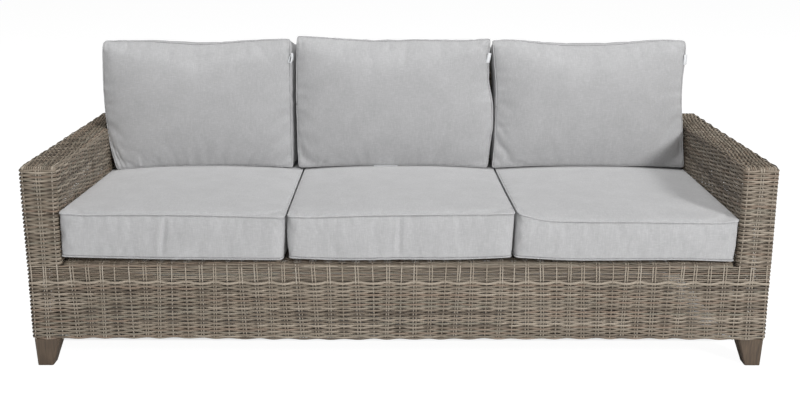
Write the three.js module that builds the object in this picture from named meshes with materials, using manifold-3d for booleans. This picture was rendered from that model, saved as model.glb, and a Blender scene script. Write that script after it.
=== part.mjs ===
// A three-seat garden sofa. A welded frame of aluminium tube is wrapped in woven strand, stands on four
// tapered feet, and carries three boxed seat cushions and three boxed back cushions that lift away.
// Millimetres. X runs along the seat, Y from the front to the back, Z up from the ground.
// The origin is on the ground, under the middle of the sofa.
import * as THREE from "three";
import { RoundedBoxGeometry } from "three/addons/geometries/RoundedBoxGeometry.js";
import { mergeVertices } from "three/addons/utils/BufferGeometryUtils.js";
import Module from "manifold-3d";

const wasm = await Module();
wasm.setup();

// Overall sizes.
const overallWidth = 2150;
const overallDepth = 925;
const armHeight = 601;
const armWidth = 103;
const footHeight = 84;
const deckHeight = 319;
const backHeight = 817;
const backThickness = 72;
const backSetIn = 4; // from the back of the arms to the top of the backrest
const backEndGap = 1.5; // between the backrest and each arm
const rakeAngle = THREE.MathUtils.degToRad(6.7);

// The woven covering.
const weave = 7; // thickness of a woven wall
const edgeRadius = 12;
const apronLipDepth = 58; // how far the front weave turns back over its rail
const apronHemDepth = 40; // how far it turns back under the lower rail
const apronFootRadius = 12;
const deckSlot = 9;
const deckStrap = 92;
const deckSlotLength = 190;
const deckMargin = 26;

// The tube frame.
const tube = 25;
const tubeWall = 1.8;
const tubeChamfer = 9;
const tubeBend = 12; // least outer radius where a tube is bent
const tubeClearance = 0.7; // least room between a tube's side and the weave
const arcClearance = 0.3; // least room between a tube's edge and the rounded weave outside it
const spacerShare = 0.3; // how far from the middle of an arm its spacers stand, of its depth
const bearerCount = 3;

// The feet and what holds them.
const footTopWidth = 75;
const footSoleWidth = 45;
const footTopInset = 4;
const footSoleInset = 8;
const footCornerRadius = 5;
const plateThickness = 4;
const plateSize = 84;
const studRadius = 4;
const studClearance = 0.35;
const studLength = 46;
const studInFoot = 30;
const nutRadius = 7.5; // across the corners
const nutHeight = 6.5;

// The cushions.
const seatCount = 3;
const seatThickness = 136;
const seatCrownHeight = 18;
const seatSetBack = 8; // from the front of the frame to the front of the seat cushions
const seatSwellDepth = 5; // how far a border stands out at mid height
const seatDrawDepth = 5; // how far a side pulls in between its corners
const seatCornerRadius = 18;
const cushionGap = 1;
const backCushionHeight = 416;
const backBorderWidth = 186; // width of the border band, from piping to piping
const backCrownHeight = 26;
const backSwellDepth = 7;
const backDrawDepth = 12;
const backCornerRadius = 34;
const backGap = 0.4; // between a back cushion and the backrest
const pipingWidth = 9;
const pipingHeight = 2.6;

// The fabric labels.
const labelWidth = 12;
const labelHeight = 40;
const labelThickness = 1.6;
const labelFromSide = 14;
const labelFromTop = 34;
const tagWidth = 80;
const tagDepth = 16;
const tagThickness = 0.8;
const tagShare = -0.07; // how far a tag stands from the middle of its cushion, of the cushion's width

const fit = 0.3; // between pieces that touch
const overrun = 5; // how far a cutter runs past what it cuts
const weldTolerance = 0.001;
const roundSegments = 3;
const cushionCellCounts = [14, 11, 8]; // across, along and through

// Places that follow from the sizes.
const halfWidth = overallWidth / 2;
const front = -overallDepth / 2;
const rear = overallDepth / 2;
const armInner = halfWidth - armWidth;
const innerRadius = edgeRadius - weave;
const rake = Math.tan(rakeAngle);
const backRearAt = (z) => rear - backSetIn - (backHeight - z) * rake;
const backFrontAt = (z) => backRearAt(z) - backThickness;
const rearApron = backRearAt(deckHeight);

// How far a chamfered tube stands off a wall whose corner is rounded inside.
function standOff(radius) {
  const reach = 2 * (radius - arcClearance) ** 2 - tubeChamfer ** 2;
  if (radius <= tubeChamfer || reach <= 0) return tubeClearance;
  return Math.max(tubeClearance, radius - (tubeChamfer + Math.sqrt(reach)) / 2);
}
const tubeInset = weave + standOff(innerRadius);
const railTop = deckHeight - tubeInset;
const railBottom = railTop - tube;
const loopBase = footHeight + weave + fit + plateThickness + fit;
const backTubeDepth = backThickness - 2 * tubeInset;

const materials = {
  weave: { color: 0x857a6e, roughness: 0.62, metalness: 0 },
  frame: { color: 0x6a655f, roughness: 0.5, metalness: 0.6 },
  foot: { color: 0x5d5048, roughness: 0.5, metalness: 0 },
  steel: { color: 0x9a9da0, roughness: 0.35, metalness: 1 },
  deck: { color: 0x4c4640, roughness: 0.7, metalness: 0 },
  cushion: { color: 0xb9bbbc, roughness: 0.95, metalness: 0 },
  label: { color: 0xf1f1ee, roughness: 0.8, metalness: 0 },
};

const sofa = new THREE.Group();

function add(name, geometry, material) {
  geometry.computeVertexNormals();
  const mesh = new THREE.Mesh(geometry, new THREE.MeshStandardMaterial(materials[material]));
  mesh.name = name;
  sofa.add(mesh);
}

// Solids for joining and cutting.
function solidOf(geometry) {
  const bare = geometry.index ? geometry.toNonIndexed() : geometry.clone();
  bare.deleteAttribute("normal");
  bare.deleteAttribute("uv");
  const merged = mergeVertices(bare, weldTolerance);
  return new wasm.Manifold(
    new wasm.Mesh({
      numProp: 3,
      vertProperties: merged.attributes.position.array,
      triVerts: new Uint32Array(merged.index.array),
    }),
  );
}

function geometryOf(solid) {
  const mesh = solid.getMesh();
  const geometry = new THREE.BufferGeometry();
  geometry.setAttribute("position", new THREE.BufferAttribute(mesh.vertProperties, mesh.numProp));
  geometry.setIndex(new THREE.BufferAttribute(mesh.triVerts, 1));
  return geometry;
}

function boxBetween([x0, y0, z0], [x1, y1, z1]) {
  const geometry = new THREE.BoxGeometry(x1 - x0, y1 - y0, z1 - z0);
  return geometry.translate((x0 + x1) / 2, (y0 + y1) / 2, (z0 + z1) / 2);
}

// Turns a drawing whose axes are Y and Z, and whose depth is X, into the sofa's frame.
const drawnInYZ = new THREE.Matrix4().makeBasis(
  new THREE.Vector3(0, 1, 0),
  new THREE.Vector3(0, 0, 1),
  new THREE.Vector3(1, 0, 0),
);

// The backrest's lean: everything in it slides back as it rises.
const leaned = new THREE.Matrix4().makeShear(0, 0, 0, 0, 0, rake);

// Frame tubes.
function chamferedRectangle(width, height, chamfer) {
  const [w, h] = [width / 2, height / 2];
  return [
    [w - chamfer, -h],
    [w, chamfer - h],
    [w, h - chamfer],
    [w - chamfer, h],
    [chamfer - w, h],
    [-w, h - chamfer],
    [-w, chamfer - h],
    [chamfer - w, -h],
  ].map(([x, y]) => new THREE.Vector2(x, y));
}

const boreChamfer = tubeChamfer - tubeWall * (2 - Math.SQRT2);

function tubeSection(width, height) {
  const shape = new THREE.Shape(chamferedRectangle(width, height, tubeChamfer));
  const bore = chamferedRectangle(width - 2 * tubeWall, height - 2 * tubeWall, boreChamfer);
  shape.holes.push(new THREE.Path(bore));
  return shape;
}

function extrude(shape, depth) {
  return new THREE.ExtrudeGeometry(shape, { depth, bevelEnabled: false, curveSegments: 4 });
}

// A tube along X, Y or Z between two places on that axis, centred at the two others.
function tubeAlong(axis, from, to, a, b, width = tube, height = tube) {
  const geometry = extrude(tubeSection(width, height), to - from).translate(0, 0, from);
  if (axis === "x") return geometry.applyMatrix4(drawnInYZ).translate(0, a, b);
  if (axis === "y") return geometry.rotateX(-Math.PI / 2).translate(a, 0, b);
  return geometry.translate(a, b, 0);
}

// One side of an arm: a tube bent up the front, along the top and down the back, open at its lower ends.
function hoopOutline(inset, thickness, low) {
  const [y0, y1, z1] = [front + tubeInset + inset, rear - tubeInset - inset, armHeight - tubeInset - inset];
  const bend = Math.max(edgeRadius - tubeInset, tubeBend) - inset;
  const shape = new THREE.Shape();
  shape.moveTo(y0, low);
  shape.lineTo(y0, z1 - bend);
  shape.absarc(y0 + bend, z1 - bend, bend, Math.PI, Math.PI / 2, true);
  shape.lineTo(y1 - bend, z1);
  shape.absarc(y1 - bend, z1 - bend, bend, Math.PI / 2, 0, true);
  shape.lineTo(y1, low);
  shape.lineTo(y1 - thickness, low);
  shape.lineTo(y1 - thickness, z1 - thickness);
  shape.lineTo(y0 + thickness, z1 - thickness);
  shape.lineTo(y0 + thickness, low);
  shape.closePath();
  return shape;
}

function chamferedSlab(shape, width, chamfer) {
  const geometry = new THREE.ExtrudeGeometry(shape, {
    depth: width - 2 * chamfer,
    bevelThickness: chamfer,
    bevelSize: chamfer,
    bevelOffset: -chamfer,
    bevelSegments: 1,
    curveSegments: 3,
  });
  return geometry.translate(0, 0, chamfer - width / 2).applyMatrix4(drawnInYZ);
}

function hoop(x) {
  const low = loopBase - tubeChamfer - overrun;
  const bar = solidOf(chamferedSlab(hoopOutline(0, tube, low), tube, tubeChamfer));
  const bore = solidOf(
    chamferedSlab(
      hoopOutline(tubeWall, tube - 2 * tubeWall, low - 2 * overrun),
      tube - 2 * tubeWall,
      boreChamfer,
    ),
  );
  const below = solidOf(
    boxBetween([-tube, front, low - 3 * overrun], [tube, rear, loopBase]),
  );
  return geometryOf(bar.subtract(bore).subtract(below)).translate(x, 0, 0);
}

// The holes in an arm's inner wall that the seat rails come through.
const rails = {
  front_top_rail: { y: front + tubeInset + tube / 2, z: railBottom + tube / 2, depth: tube },
  front_bottom_rail: { y: front + tubeInset + tube / 2, z: loopBase + tube / 2, depth: tube },
  rear_top_rail: {
    y: rearApron - tubeInset - backTubeDepth / 2,
    z: railBottom + tube / 2,
    depth: backTubeDepth,
  },
  rear_bottom_rail: {
    y: rearApron - tubeInset - backTubeDepth / 2,
    z: loopBase + tube / 2,
    depth: backTubeDepth,
  },
};

// Where each foot stands: its sole's and its top's middle, from the sofa's outer corner.
const footTopMiddle = footTopInset + footTopWidth / 2;
const footSoleMiddle = footSoleInset + footSoleWidth / 2;
const corners = [
  ["front_left", -1, -1],
  ["front_right", 1, -1],
  ["rear_left", -1, 1],
  ["rear_right", 1, 1],
];

function disc(radius, low, high, x, y, sides = 12) {
  const geometry = new THREE.CylinderGeometry(radius, radius, high - low, sides);
  return geometry.rotateX(Math.PI / 2).translate(x, y, (low + high) / 2);
}

// A woven box with round edges, hollow inside, its walls one weave thick and its lower end cut level.
function wovenShell(width, depth, top, bottom, radius, floor) {
  const block = (shrink, low) => {
    const height = top - shrink - low + radius;
    const rounded = solidOf(
      new RoundedBoxGeometry(
        width - 2 * shrink,
        depth - 2 * shrink,
        height,
        roundSegments,
        Math.max(radius - shrink, fit),
      ).translate(0, 0, top - shrink - height / 2),
    );
    const cutter = boxBetween(
      [-width, -depth, low - radius - overrun],
      [width, depth, low],
    );
    return rounded.subtract(solidOf(cutter));
  };
  return block(0, bottom).subtract(block(weave, bottom + floor));
}

function armWeave(side) {
  const x = side * (halfWidth - armWidth / 2);
  let shell = wovenShell(armWidth, overallDepth, armHeight, footHeight, edgeRadius, weave);
  for (const { y, z, depth } of Object.values(rails)) {
    const hole = tubeHole(side, y, z, depth);
    shell = shell.subtract(hole);
  }
  for (const end of [-1, 1]) {
    const stud = disc(
      studRadius + studClearance,
      footHeight - overrun,
      footHeight + weave + overrun,
      side * (armWidth / 2 - footTopMiddle),
      end * (overallDepth / 2 - footTopMiddle),
    );
    shell = shell.subtract(solidOf(stud));
  }
  return geometryOf(shell).translate(x, 0, 0);
}

function tubeHole(side, y, z, depth) {
  const middle = (side * (weave - armWidth)) / 2;
  const reach = weave / 2 + overrun;
  const outline = chamferedRectangle(depth + 2 * fit, tube + 2 * fit, tubeChamfer);
  const geometry = extrude(new THREE.Shape(outline), 2 * reach).translate(0, 0, middle - reach);
  return solidOf(geometry.applyMatrix4(drawnInYZ).translate(0, y, z));
}

for (const [label, side] of [["left", -1], ["right", 1]]) {
  const outerX = side * (halfWidth - tubeInset - tube / 2);
  const innerX = side * (armInner + tubeInset + tube / 2);
  const [postFront, postRear] = [front + tubeInset + tube + fit, rear - tubeInset - tube - fit];
  add(`${label}_arm_outer_hoop`, hoop(outerX), "frame");
  add(`${label}_arm_inner_hoop`, hoop(innerX), "frame");
  const footTubeZ = loopBase + tube / 2;
  add(`${label}_arm_outer_foot_tube`, tubeAlong("y", postFront, postRear, outerX, footTubeZ), "frame");
  add(`${label}_arm_inner_foot_tube`, tubeAlong("y", postFront, postRear, innerX, footTubeZ), "frame");
  const sideTubeZ = railBottom + tube / 2;
  add(`${label}_seat_side_tube`, tubeAlong("y", postFront, postRear, innerX, sideTubeZ), "frame");
  const [near, far] = [armInner + tubeInset + tube + fit, halfWidth - tubeInset - tube - fit];
  for (const [end, sign] of [["front", -1], ["rear", 1]]) {
    const [from, to] = side > 0 ? [near, far] : [-far, -near];
    const spacer = tubeAlong(
      "x",
      from,
      to,
      sign * spacerShare * overallDepth,
      armHeight - tubeInset - tube / 2,
    );
    add(`${label}_arm_${end}_spacer`, spacer, "frame");
  }
  add(`${label}_arm_weave`, armWeave(side), "weave");
}

// The seat rails run into the arms and butt on their inner hoops.
const railEnd = armInner + tubeInset - fit;
for (const [name, { y, z, depth }] of Object.entries(rails)) {
  add(name, tubeAlong("x", -railEnd, railEnd, y, z, depth, tube), "frame");
}

// Bearers under the deck, from the front rail to the rear one.
const bearerTop = deckHeight - weave - fit;
const bearerFront = rails.front_top_rail.y + tube / 2 + fit;
const bearerRear = rails.rear_top_rail.y - backTubeDepth / 2 - fit;
for (let i = 0; i < bearerCount; i++) {
  const x = ((i - (bearerCount - 1) / 2) * 2 * armInner) / (bearerCount + 1);
  add(`seat_bearer_${i + 1}`, tubeAlong("y", bearerFront, bearerRear, x, bearerTop - tube / 2), "frame");
}

// Stiles between the lower and upper rails, under the joints between the cushions.
const seatPitch = (2 * armInner) / seatCount;
const stileLow = loopBase + tube + fit;
const stileHigh = railBottom - fit;
for (const [name, rail] of [["front", rails.front_top_rail], ["rear", rails.rear_top_rail]]) {
  for (const [label, side] of [["left", -1], ["right", 1]]) {
    const stile = tubeAlong("z", stileLow, stileHigh, (side * seatPitch) / 2, rail.y, tube, rail.depth);
    add(`${name}_${label}_stile`, stile, "frame");
  }
}

// The backrest: posts and a top rail, leaning back with the weave around them.
const backHalf = armInner - backEndGap;
const backMiddleAtTop = backRearAt(backHeight) - backThickness / 2;
const leanInPlace = new THREE.Matrix4()
  .makeTranslation(0, backMiddleAtTop, backHeight)
  .multiply(leaned)
  .multiply(new THREE.Matrix4().makeTranslation(0, 0, -backHeight));
const backRailTop = backHeight - tubeInset;
const postLow = railTop + fit;
const postHigh = backRailTop - tube - fit;
const postPlaces = [
  ["left", -(backHalf - tubeInset - tube / 2)],
  ["middle_left", -seatPitch / 2],
  ["middle_right", seatPitch / 2],
  ["right", backHalf - tubeInset - tube / 2],
];
for (const [label, x] of postPlaces) {
  const post = tubeAlong("z", postLow, postHigh, x, 0, tube, backTubeDepth).applyMatrix4(leanInPlace);
  add(`back_${label}_post`, post, "frame");
}
const backRail = tubeAlong(
  "x",
  edgeRadius - backHalf,
  backHalf - edgeRadius,
  0,
  backRailTop - tube / 2,
  backTubeDepth,
  tube,
);
add("back_top_rail", backRail.applyMatrix4(leanInPlace), "frame");
const backShell = wovenShell(2 * backHalf, backThickness, backHeight, deckHeight + fit, edgeRadius, -overrun);
add("back_weave", geometryOf(backShell).applyMatrix4(leanInPlace), "weave");

// The front and rear aprons: woven walls turned over the rails above and below.
function apronOutline(face, sign, topRadius, lip) {
  const s = (distance) => face + sign * distance;
  const [t, b] = [deckHeight, footHeight];
  const upper = Math.max(topRadius, weave + fit);
  const lower = Math.max(apronFootRadius, weave + fit);
  const quarter = (distance, radius, z, rising) => {
    const points = [];
    for (let i = 0; i <= 2 * roundSegments; i++) {
      const angle = ((rising ? i : 2 * roundSegments - i) / (2 * roundSegments)) * (Math.PI / 2);
      points.push([s(distance - radius * Math.cos(angle)), z + radius * Math.sin(angle)]);
    }
    return points;
  };
  const mirrored = (points, z) => points.map(([y, height]) => [y, 2 * z - height]);
  return [
    [s(apronHemDepth), b],
    ...mirrored(quarter(lower, lower, b + lower, false), b + lower),
    ...quarter(upper, upper, t - upper, true),
    [s(lip), t],
    [s(lip), t - weave],
    ...quarter(upper, upper - weave, t - upper, false),
    ...mirrored(quarter(lower, lower - weave, b + lower, true), b + lower),
    [s(apronHemDepth), b + weave],
  ].map(([y, z]) => new THREE.Vector2(y, z));
}

function apron(face, sign, topRadius, lip) {
  const half = armInner - fit;
  const outline = new THREE.Shape(apronOutline(face, sign, topRadius, lip));
  return extrude(outline, 2 * half).translate(0, 0, -half).applyMatrix4(drawnInYZ);
}
// The rear weave stops short of the backrest's posts, which come up from the rail behind the deck.
const rearLip = tubeInset - fit;
const deckRear = backFrontAt(deckHeight) + weave / 2;
add("front_apron_weave", apron(front, 1, edgeRadius, apronLipDepth), "weave");
add("rear_apron_weave", apron(rearApron, -1, 0, rearLip), "weave");

// The deck: crossed straps that leave rows of slots, carried on the bearers.
function deckPanel() {
  const half = armInner - fit;
  const [y0, y1] = [front + apronLipDepth + fit, deckRear];
  let panel = solidOf(boxBetween([-half, y0, deckHeight - weave], [half, y1, deckHeight]));
  const rowPitch = deckStrap + deckSlot;
  const rows = Math.floor((y1 - y0 - 2 * deckMargin) / rowPitch);
  const bay = (2 * armInner) / (bearerCount + 1);
  const firstRow = (y0 + y1) / 2 - ((rows - 1) / 2) * rowPitch;
  for (let row = 0; row < rows; row++) {
    for (let place = 0; place < 2 * (bearerCount + 1); place++) {
      const x = -armInner + (place + 1 / 2) * (bay / 2);
      const y = firstRow + row * rowPitch;
      const reach = Math.min(deckSlotLength, bay / 2 - tube) / 2;
      const slot = boxBetween(
        [x - reach, y - deckSlot / 2, deckHeight - weave - overrun],
        [x + reach, y + deckSlot / 2, deckHeight + overrun],
      );
      panel = panel.subtract(solidOf(slot));
    }
  }
  return geometryOf(panel);
}
add("seat_deck", deckPanel(), "deck");

// Feet: square blocks that taper to the ground, mostly on their inner sides.
function foot(sideX, sideY) {
  const round = chamferedRectangle(footTopWidth, footTopWidth, footCornerRadius);
  const top = footHeight - fit;
  const block = extrude(new THREE.Shape(round), top);
  const place = block.attributes.position;
  for (let i = 0; i < place.count; i++) {
    const down = 1 - place.getZ(i) / top;
    const size = 1 + (footSoleWidth / footTopWidth - 1) * down;
    const middle = footTopMiddle + (footSoleMiddle - footTopMiddle) * down;
    place.setX(i, place.getX(i) * size + sideX * (halfWidth - middle));
    place.setY(i, place.getY(i) * size + sideY * (overallDepth / 2 - middle));
  }
  return block;
}

for (const [label, sideX, sideY] of corners) {
  const x = sideX * (halfWidth - footTopMiddle);
  const y = sideY * (overallDepth / 2 - footTopMiddle);
  const hole = disc(studRadius + studClearance, footHeight - studInFoot, footHeight + overrun, x, y);
  add(`${label}_foot`, geometryOf(solidOf(foot(sideX, sideY)).subtract(solidOf(hole))), "foot");
  const plateLow = footHeight + weave + fit;
  const plateX = sideX * (halfWidth - weave - standOff(innerRadius) - plateSize / 2);
  const plateY = sideY * (overallDepth / 2 - tubeInset - plateSize / 2);
  const outline = new THREE.Shape(chamferedRectangle(plateSize, plateSize, tubeChamfer));
  const plateHigh = plateLow + plateThickness;
  const plate = solidOf(extrude(outline, plateThickness).translate(plateX, plateY, plateLow));
  const nut = solidOf(disc(nutRadius, plateLow + fit, plateHigh + nutHeight, x, y, 6));
  const bore = solidOf(
    disc(studRadius + studClearance, plateLow - overrun, plateHigh + nutHeight + overrun, x, y),
  );
  add(`${label}_foot_plate`, geometryOf(plate.add(nut).subtract(bore)), "steel");
  const studLow = footHeight - studInFoot + fit;
  add(`${label}_foot_stud`, disc(studRadius, studLow, studLow + studLength, x, y), "steel");
}

// A boxed cushion: two panels with piping round them and a border between. Drawn with its panels facing
// up and down. The panels rise to a crown, the sides pull in between the corners and the border swells.
const crownPower = 2.6;
const fadePower = 4;

function crownShare(u, v) {
  return (1 - Math.abs(u) ** crownPower) * (1 - Math.abs(v) ** crownPower);
}

// Places across a side: a narrow cell for the piping at each end and even cells between.
function evenCell(index, count, half) {
  if (index === 0) return -half;
  if (index === count) return half;
  const inner = half - pipingWidth;
  return -inner + ((index - 1) / (count - 2)) * 2 * inner;
}

function cushion(size) {
  const [countX, countY, countZ] = cushionCellCounts;
  const proud = Math.max(size.swell, pipingHeight);
  const hx = size.width / 2 - proud;
  const hy = size.depth / 2 - proud;
  const hz = size.thickness / 2;
  const geometry = new THREE.BoxGeometry(1, 1, 1, countX, countY, countZ);
  const place = geometry.attributes.position;
  for (let i = 0; i < place.count; i++) {
    const cell = (value, count) => Math.round((value + 1 / 2) * count);
    let x = evenCell(cell(place.getX(i), countX), countX, hx);
    let y = evenCell(cell(place.getY(i), countY), countY, hy);
    let z = evenCell(cell(place.getZ(i), countZ), countZ, hz);
    const [u, v, w] = [x / hx, y / hy, z / hz];
    const onBorder = Math.abs(u) === 1 || Math.abs(v) === 1;
    const onPanel = Math.abs(w) === 1;
    const swell = onBorder ? size.swell * (1 - w * w) : 0;
    const piping = onBorder && onPanel ? pipingHeight : 0;
    const towardX = Math.sign(u) * Math.abs(u) ** fadePower;
    const towardY = Math.sign(v) * Math.abs(v) ** fadePower;
    const resting = size.flatEnd && v < 0 ? 0 : 1;
    const cornerX = Math.max(Math.abs(x) - (hx - size.corner), 0);
    const cornerY = Math.max(Math.abs(y) - (hy - size.corner), 0);
    const spread = Math.hypot(cornerX, cornerY);
    const rounding = spread > 0 ? Math.max(cornerX, cornerY) / spread : 1;
    x -= Math.sign(u) * cornerX * (1 - rounding);
    y -= Math.sign(v) * cornerY * (1 - rounding);
    x += towardX * ((swell + piping) * Math.abs(towardX) - size.drawIn * (1 - v * v));
    y += towardY * ((swell + piping) * Math.abs(towardY) - size.drawIn * (1 - u * u)) * resting;
    if (size.flatEnd && v < 0) y += towardY * proud;
    if (w > 0) z += (w ** fadePower) * size.crown * crownShare(u, v);
    place.setXYZ(i, x, y, z);
  }
  return geometry;
}

const seatBottom = deckHeight + fit;
const seatTop = seatBottom + seatThickness;
const seatFront = front + seatSetBack;
const seatRear = backFrontAt(deckHeight) - fit;
const seatDepth = seatRear - seatFront;
const seatMiddleY = (seatFront + seatRear) / 2;
const seatNames = ["left", "middle", "right"];

function seatCrownAt(y) {
  const half = seatDepth / 2 - Math.max(seatSwellDepth, pipingHeight);
  return seatTop + seatCrownHeight * crownShare(0, Math.min(Math.abs(y - seatMiddleY) / half, 1));
}

// A back cushion stands on the seat cushion and leans on the backrest.
const backThicknessAll = backBorderWidth + backCrownHeight;
const backRearFace = backFrontAt(seatTop + seatCrownHeight) - backGap;
const backFrontFace = backRearFace - backThicknessAll;
const backFoot = Math.max(seatCrownAt(backFrontFace), seatTop) + fit;
const backCushionRear = (z) => backFrontAt(z) - backGap;
const cushionWidth = seatPitch - cushionGap;

const leanOfCushion = new THREE.Matrix4()
  .makeTranslation(0, backCushionRear(backFoot), backFoot)
  .multiply(leaned);

// The base of a back cushion is level, and its top falls towards the backrest, square to the lean.
function squareTop(geometry) {
  const place = geometry.attributes.position;
  for (let i = 0; i < place.count; i++) {
    const behindSeam = Math.max(place.getY(i) + backBorderWidth, 0);
    place.setZ(i, place.getZ(i) * (1 - (behindSeam * rake) / backCushionHeight));
  }
  return geometry;
}

for (let i = 0; i < seatCount; i++) {
  const x = (i - (seatCount - 1) / 2) * seatPitch;
  const name = seatNames[i] ?? `number_${i + 1}`;
  const seat = cushion({
    width: cushionWidth,
    depth: seatDepth,
    thickness: seatThickness,
    crown: seatCrownHeight,
    swell: seatSwellDepth,
    drawIn: seatDrawDepth,
    corner: seatCornerRadius,
  });
  add(`seat_cushion_${name}`, seat.translate(x, seatMiddleY, seatBottom + seatThickness / 2), "cushion");
  const back = cushion({
    width: cushionWidth,
    depth: backCushionHeight,
    thickness: backBorderWidth,
    crown: backCrownHeight,
    swell: backSwellDepth,
    drawIn: backDrawDepth,
    corner: backCornerRadius,
    flatEnd: true,
  });
  back.rotateX(Math.PI / 2).translate(x, -backBorderWidth / 2, backCushionHeight / 2);
  add(`back_cushion_${name}`, squareTop(back).applyMatrix4(leanOfCushion), "cushion");

  // A ribbon label sewn into the seam of the piping, near the upper right corner.
  const right = x + cushionWidth / 2 - labelFromSide;
  const high = backCushionHeight - labelFromTop;
  const across = 1 - (2 * labelFromSide + labelWidth) / cushionWidth;
  const up = 1 - (2 * labelFromTop + labelHeight) / backCushionHeight;
  const faceY = -backBorderWidth - backCrownHeight * crownShare(across, up) - fit;
  const ribbon = boxBetween(
    [right - labelWidth, faceY - labelThickness, high - labelHeight],
    [right, faceY, high],
  );
  add(`label_${name}`, ribbon.applyMatrix4(leanOfCushion), "label");
}

// A flat tag under the front edge of two of the back cushions.
for (const i of [0, 1]) {
  const x = (i - (seatCount - 1) / 2) * seatPitch + tagShare * cushionWidth;
  const low = backFoot;
  const frontY = backCushionRear(backFoot) - backBorderWidth - pipingHeight - fit;
  const tag = boxBetween(
    [x - tagWidth / 2, frontY - tagDepth, low],
    [x + tagWidth / 2, frontY, low + tagThickness],
  );
  add(`care_tag_${seatNames[i]}`, tag, "label");
}

export default sofa;
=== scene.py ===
# %% [markdown]
# # A woven garden sofa
# The sofa's construction is already modelled: a welded tube frame, solid walls where the weave goes, a deck,
# feet and plain blocks for the cushions. This lesson dresses it. The walls become real woven strands, the
# blocks become boxed cushions with piping, and every bare part gets the finish that it was made with.
# Everything is in metres, in the frame's own place, so nothing has to be fitted afterwards.

# %% Load the frame
import math

import bmesh
import bpy
import numpy as np
from mathutils import Matrix, Vector


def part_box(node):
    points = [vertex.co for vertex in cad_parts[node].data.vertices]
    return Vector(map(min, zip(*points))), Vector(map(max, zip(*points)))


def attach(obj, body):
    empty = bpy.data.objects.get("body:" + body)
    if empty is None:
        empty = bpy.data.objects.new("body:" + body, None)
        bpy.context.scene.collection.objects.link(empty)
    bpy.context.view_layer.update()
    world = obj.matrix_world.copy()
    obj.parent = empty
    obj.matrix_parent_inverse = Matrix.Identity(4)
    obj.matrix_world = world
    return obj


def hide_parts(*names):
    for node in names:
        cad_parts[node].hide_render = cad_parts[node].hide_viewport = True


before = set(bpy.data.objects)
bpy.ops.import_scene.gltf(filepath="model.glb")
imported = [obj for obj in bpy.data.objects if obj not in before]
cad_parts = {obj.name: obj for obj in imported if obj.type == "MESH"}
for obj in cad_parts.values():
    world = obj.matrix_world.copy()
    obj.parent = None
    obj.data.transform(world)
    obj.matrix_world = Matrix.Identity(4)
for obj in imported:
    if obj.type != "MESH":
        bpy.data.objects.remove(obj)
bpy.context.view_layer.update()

# %% [markdown]
# ## Sizes
# Every wall takes its place from the block that it covers. A synthetic strand is an oval cord, nearly 7 mm
# wide and half as thick. It passes in front of one stake and behind the next, so the thickness of strand and
# stake together gives how far it swings. The rows are beaten down a little closer than a strand is wide, and
# the whole weave stands 2 mm proud of its block, as strand does that is wound round a frame.

# %% Sizes of the weave
MM = 0.001
strand_width = 6.7 * MM
strand_thickness = 3.3 * MM
row_pitch = 5.9 * MM
stake_pitch = 41 * MM
stake_width = 4.2 * MM
stake_thickness = 2.4 * MM
stake_spread = 7.4 * MM
weave_proud = 2 * MM
edge_radius = 12 * MM
foot_edge_radius = 12 * MM
pressed = 0.3 * MM
swing = (strand_thickness + stake_thickness) / 2 - pressed
weave_inset = swing + strand_thickness / 2 - weave_proud
steps_per_stake = 4

arm_low, arm_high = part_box("left_arm_weave")
_, apron_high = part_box("front_apron_weave")
rear_apron_low, rear_apron_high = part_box("rear_apron_weave")
back_low, back_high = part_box("back_weave")

half_width = -arm_low.x
arm_width = arm_high.x - arm_low.x
arm_inner = half_width - arm_width
front = arm_low.y
rear = arm_high.y
arm_top = arm_high.z
ground_gap = arm_low.z
deck_top = apron_high.z
back_top = back_high.z
back_half = back_high.x
back_thickness = 72 * MM
rake = math.tan(math.radians(6.7))
print(f"rows {row_pitch / MM:.1f} mm apart, strands swing {swing / MM:.2f} mm either way")

# %% [markdown]
# ## Rods to weave with
# A thousand strands could be curves with a bevel, but a curve's section is round and its ends can't be
# tucked. Here one straight rod is made with a cone operator and cut into rings, an Array modifier lays as
# many as are needed side by side, and then every ring is carried to its place on the wall. Ring and rod
# numbers can be read back from the straight layout, so no list of points is ever written.

# %% A rod and a row of rods
rod_gap = 4


def rod(steps, sides):
    """A straight rod of radius one along X, with a ring of points at every whole number."""
    bm = bmesh.new()
    bmesh.ops.create_cone(bm, cap_ends=True, segments=sides, radius1=1, radius2=1, depth=steps)
    along = [edge for edge in bm.edges if abs(edge.verts[0].co.z - edge.verts[1].co.z) > steps / 2]
    if steps > 1:
        bmesh.ops.subdivide_edges(bm, edges=along, cuts=steps - 1)
    bmesh.ops.rotate(bm, verts=bm.verts, matrix=Matrix.Rotation(math.pi / 2, 3, "Z"))
    bmesh.ops.rotate(bm, verts=bm.verts, matrix=Matrix.Rotation(math.pi / 2, 3, "Y"))
    bmesh.ops.translate(bm, verts=bm.verts, vec=(steps / 2, 0, 0))
    mesh = bpy.data.meshes.new("rod")
    bm.to_mesh(mesh)
    bm.free()
    return mesh


def rods(count, steps, sides):
    """Such rods side by side along Y, as one mesh."""
    bundle = bpy.data.objects.new("rods", rod(steps, sides))
    bpy.context.scene.collection.objects.link(bundle)
    rows = bundle.modifiers.new("rows", "ARRAY")
    rows.count = count
    rows.use_relative_offset = False
    rows.use_constant_offset = True
    rows.constant_offset_displace = (0, rod_gap, 0)
    bpy.context.view_layer.update()
    graph = bpy.context.evaluated_depsgraph_get()
    mesh = bpy.data.meshes.new_from_object(bundle.evaluated_get(graph))
    bpy.data.objects.remove(bundle)
    return mesh


def read(data, name, width, kind=np.float32):
    """One property of all points, corners or faces, as an array."""
    values = np.empty(len(data) * width, kind)
    data.foreach_get(name, values)
    return values.reshape(-1, width) if width > 1 else values


print("one rod of 10 steps:", len(rod(10, 6).polygons), "faces")

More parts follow.
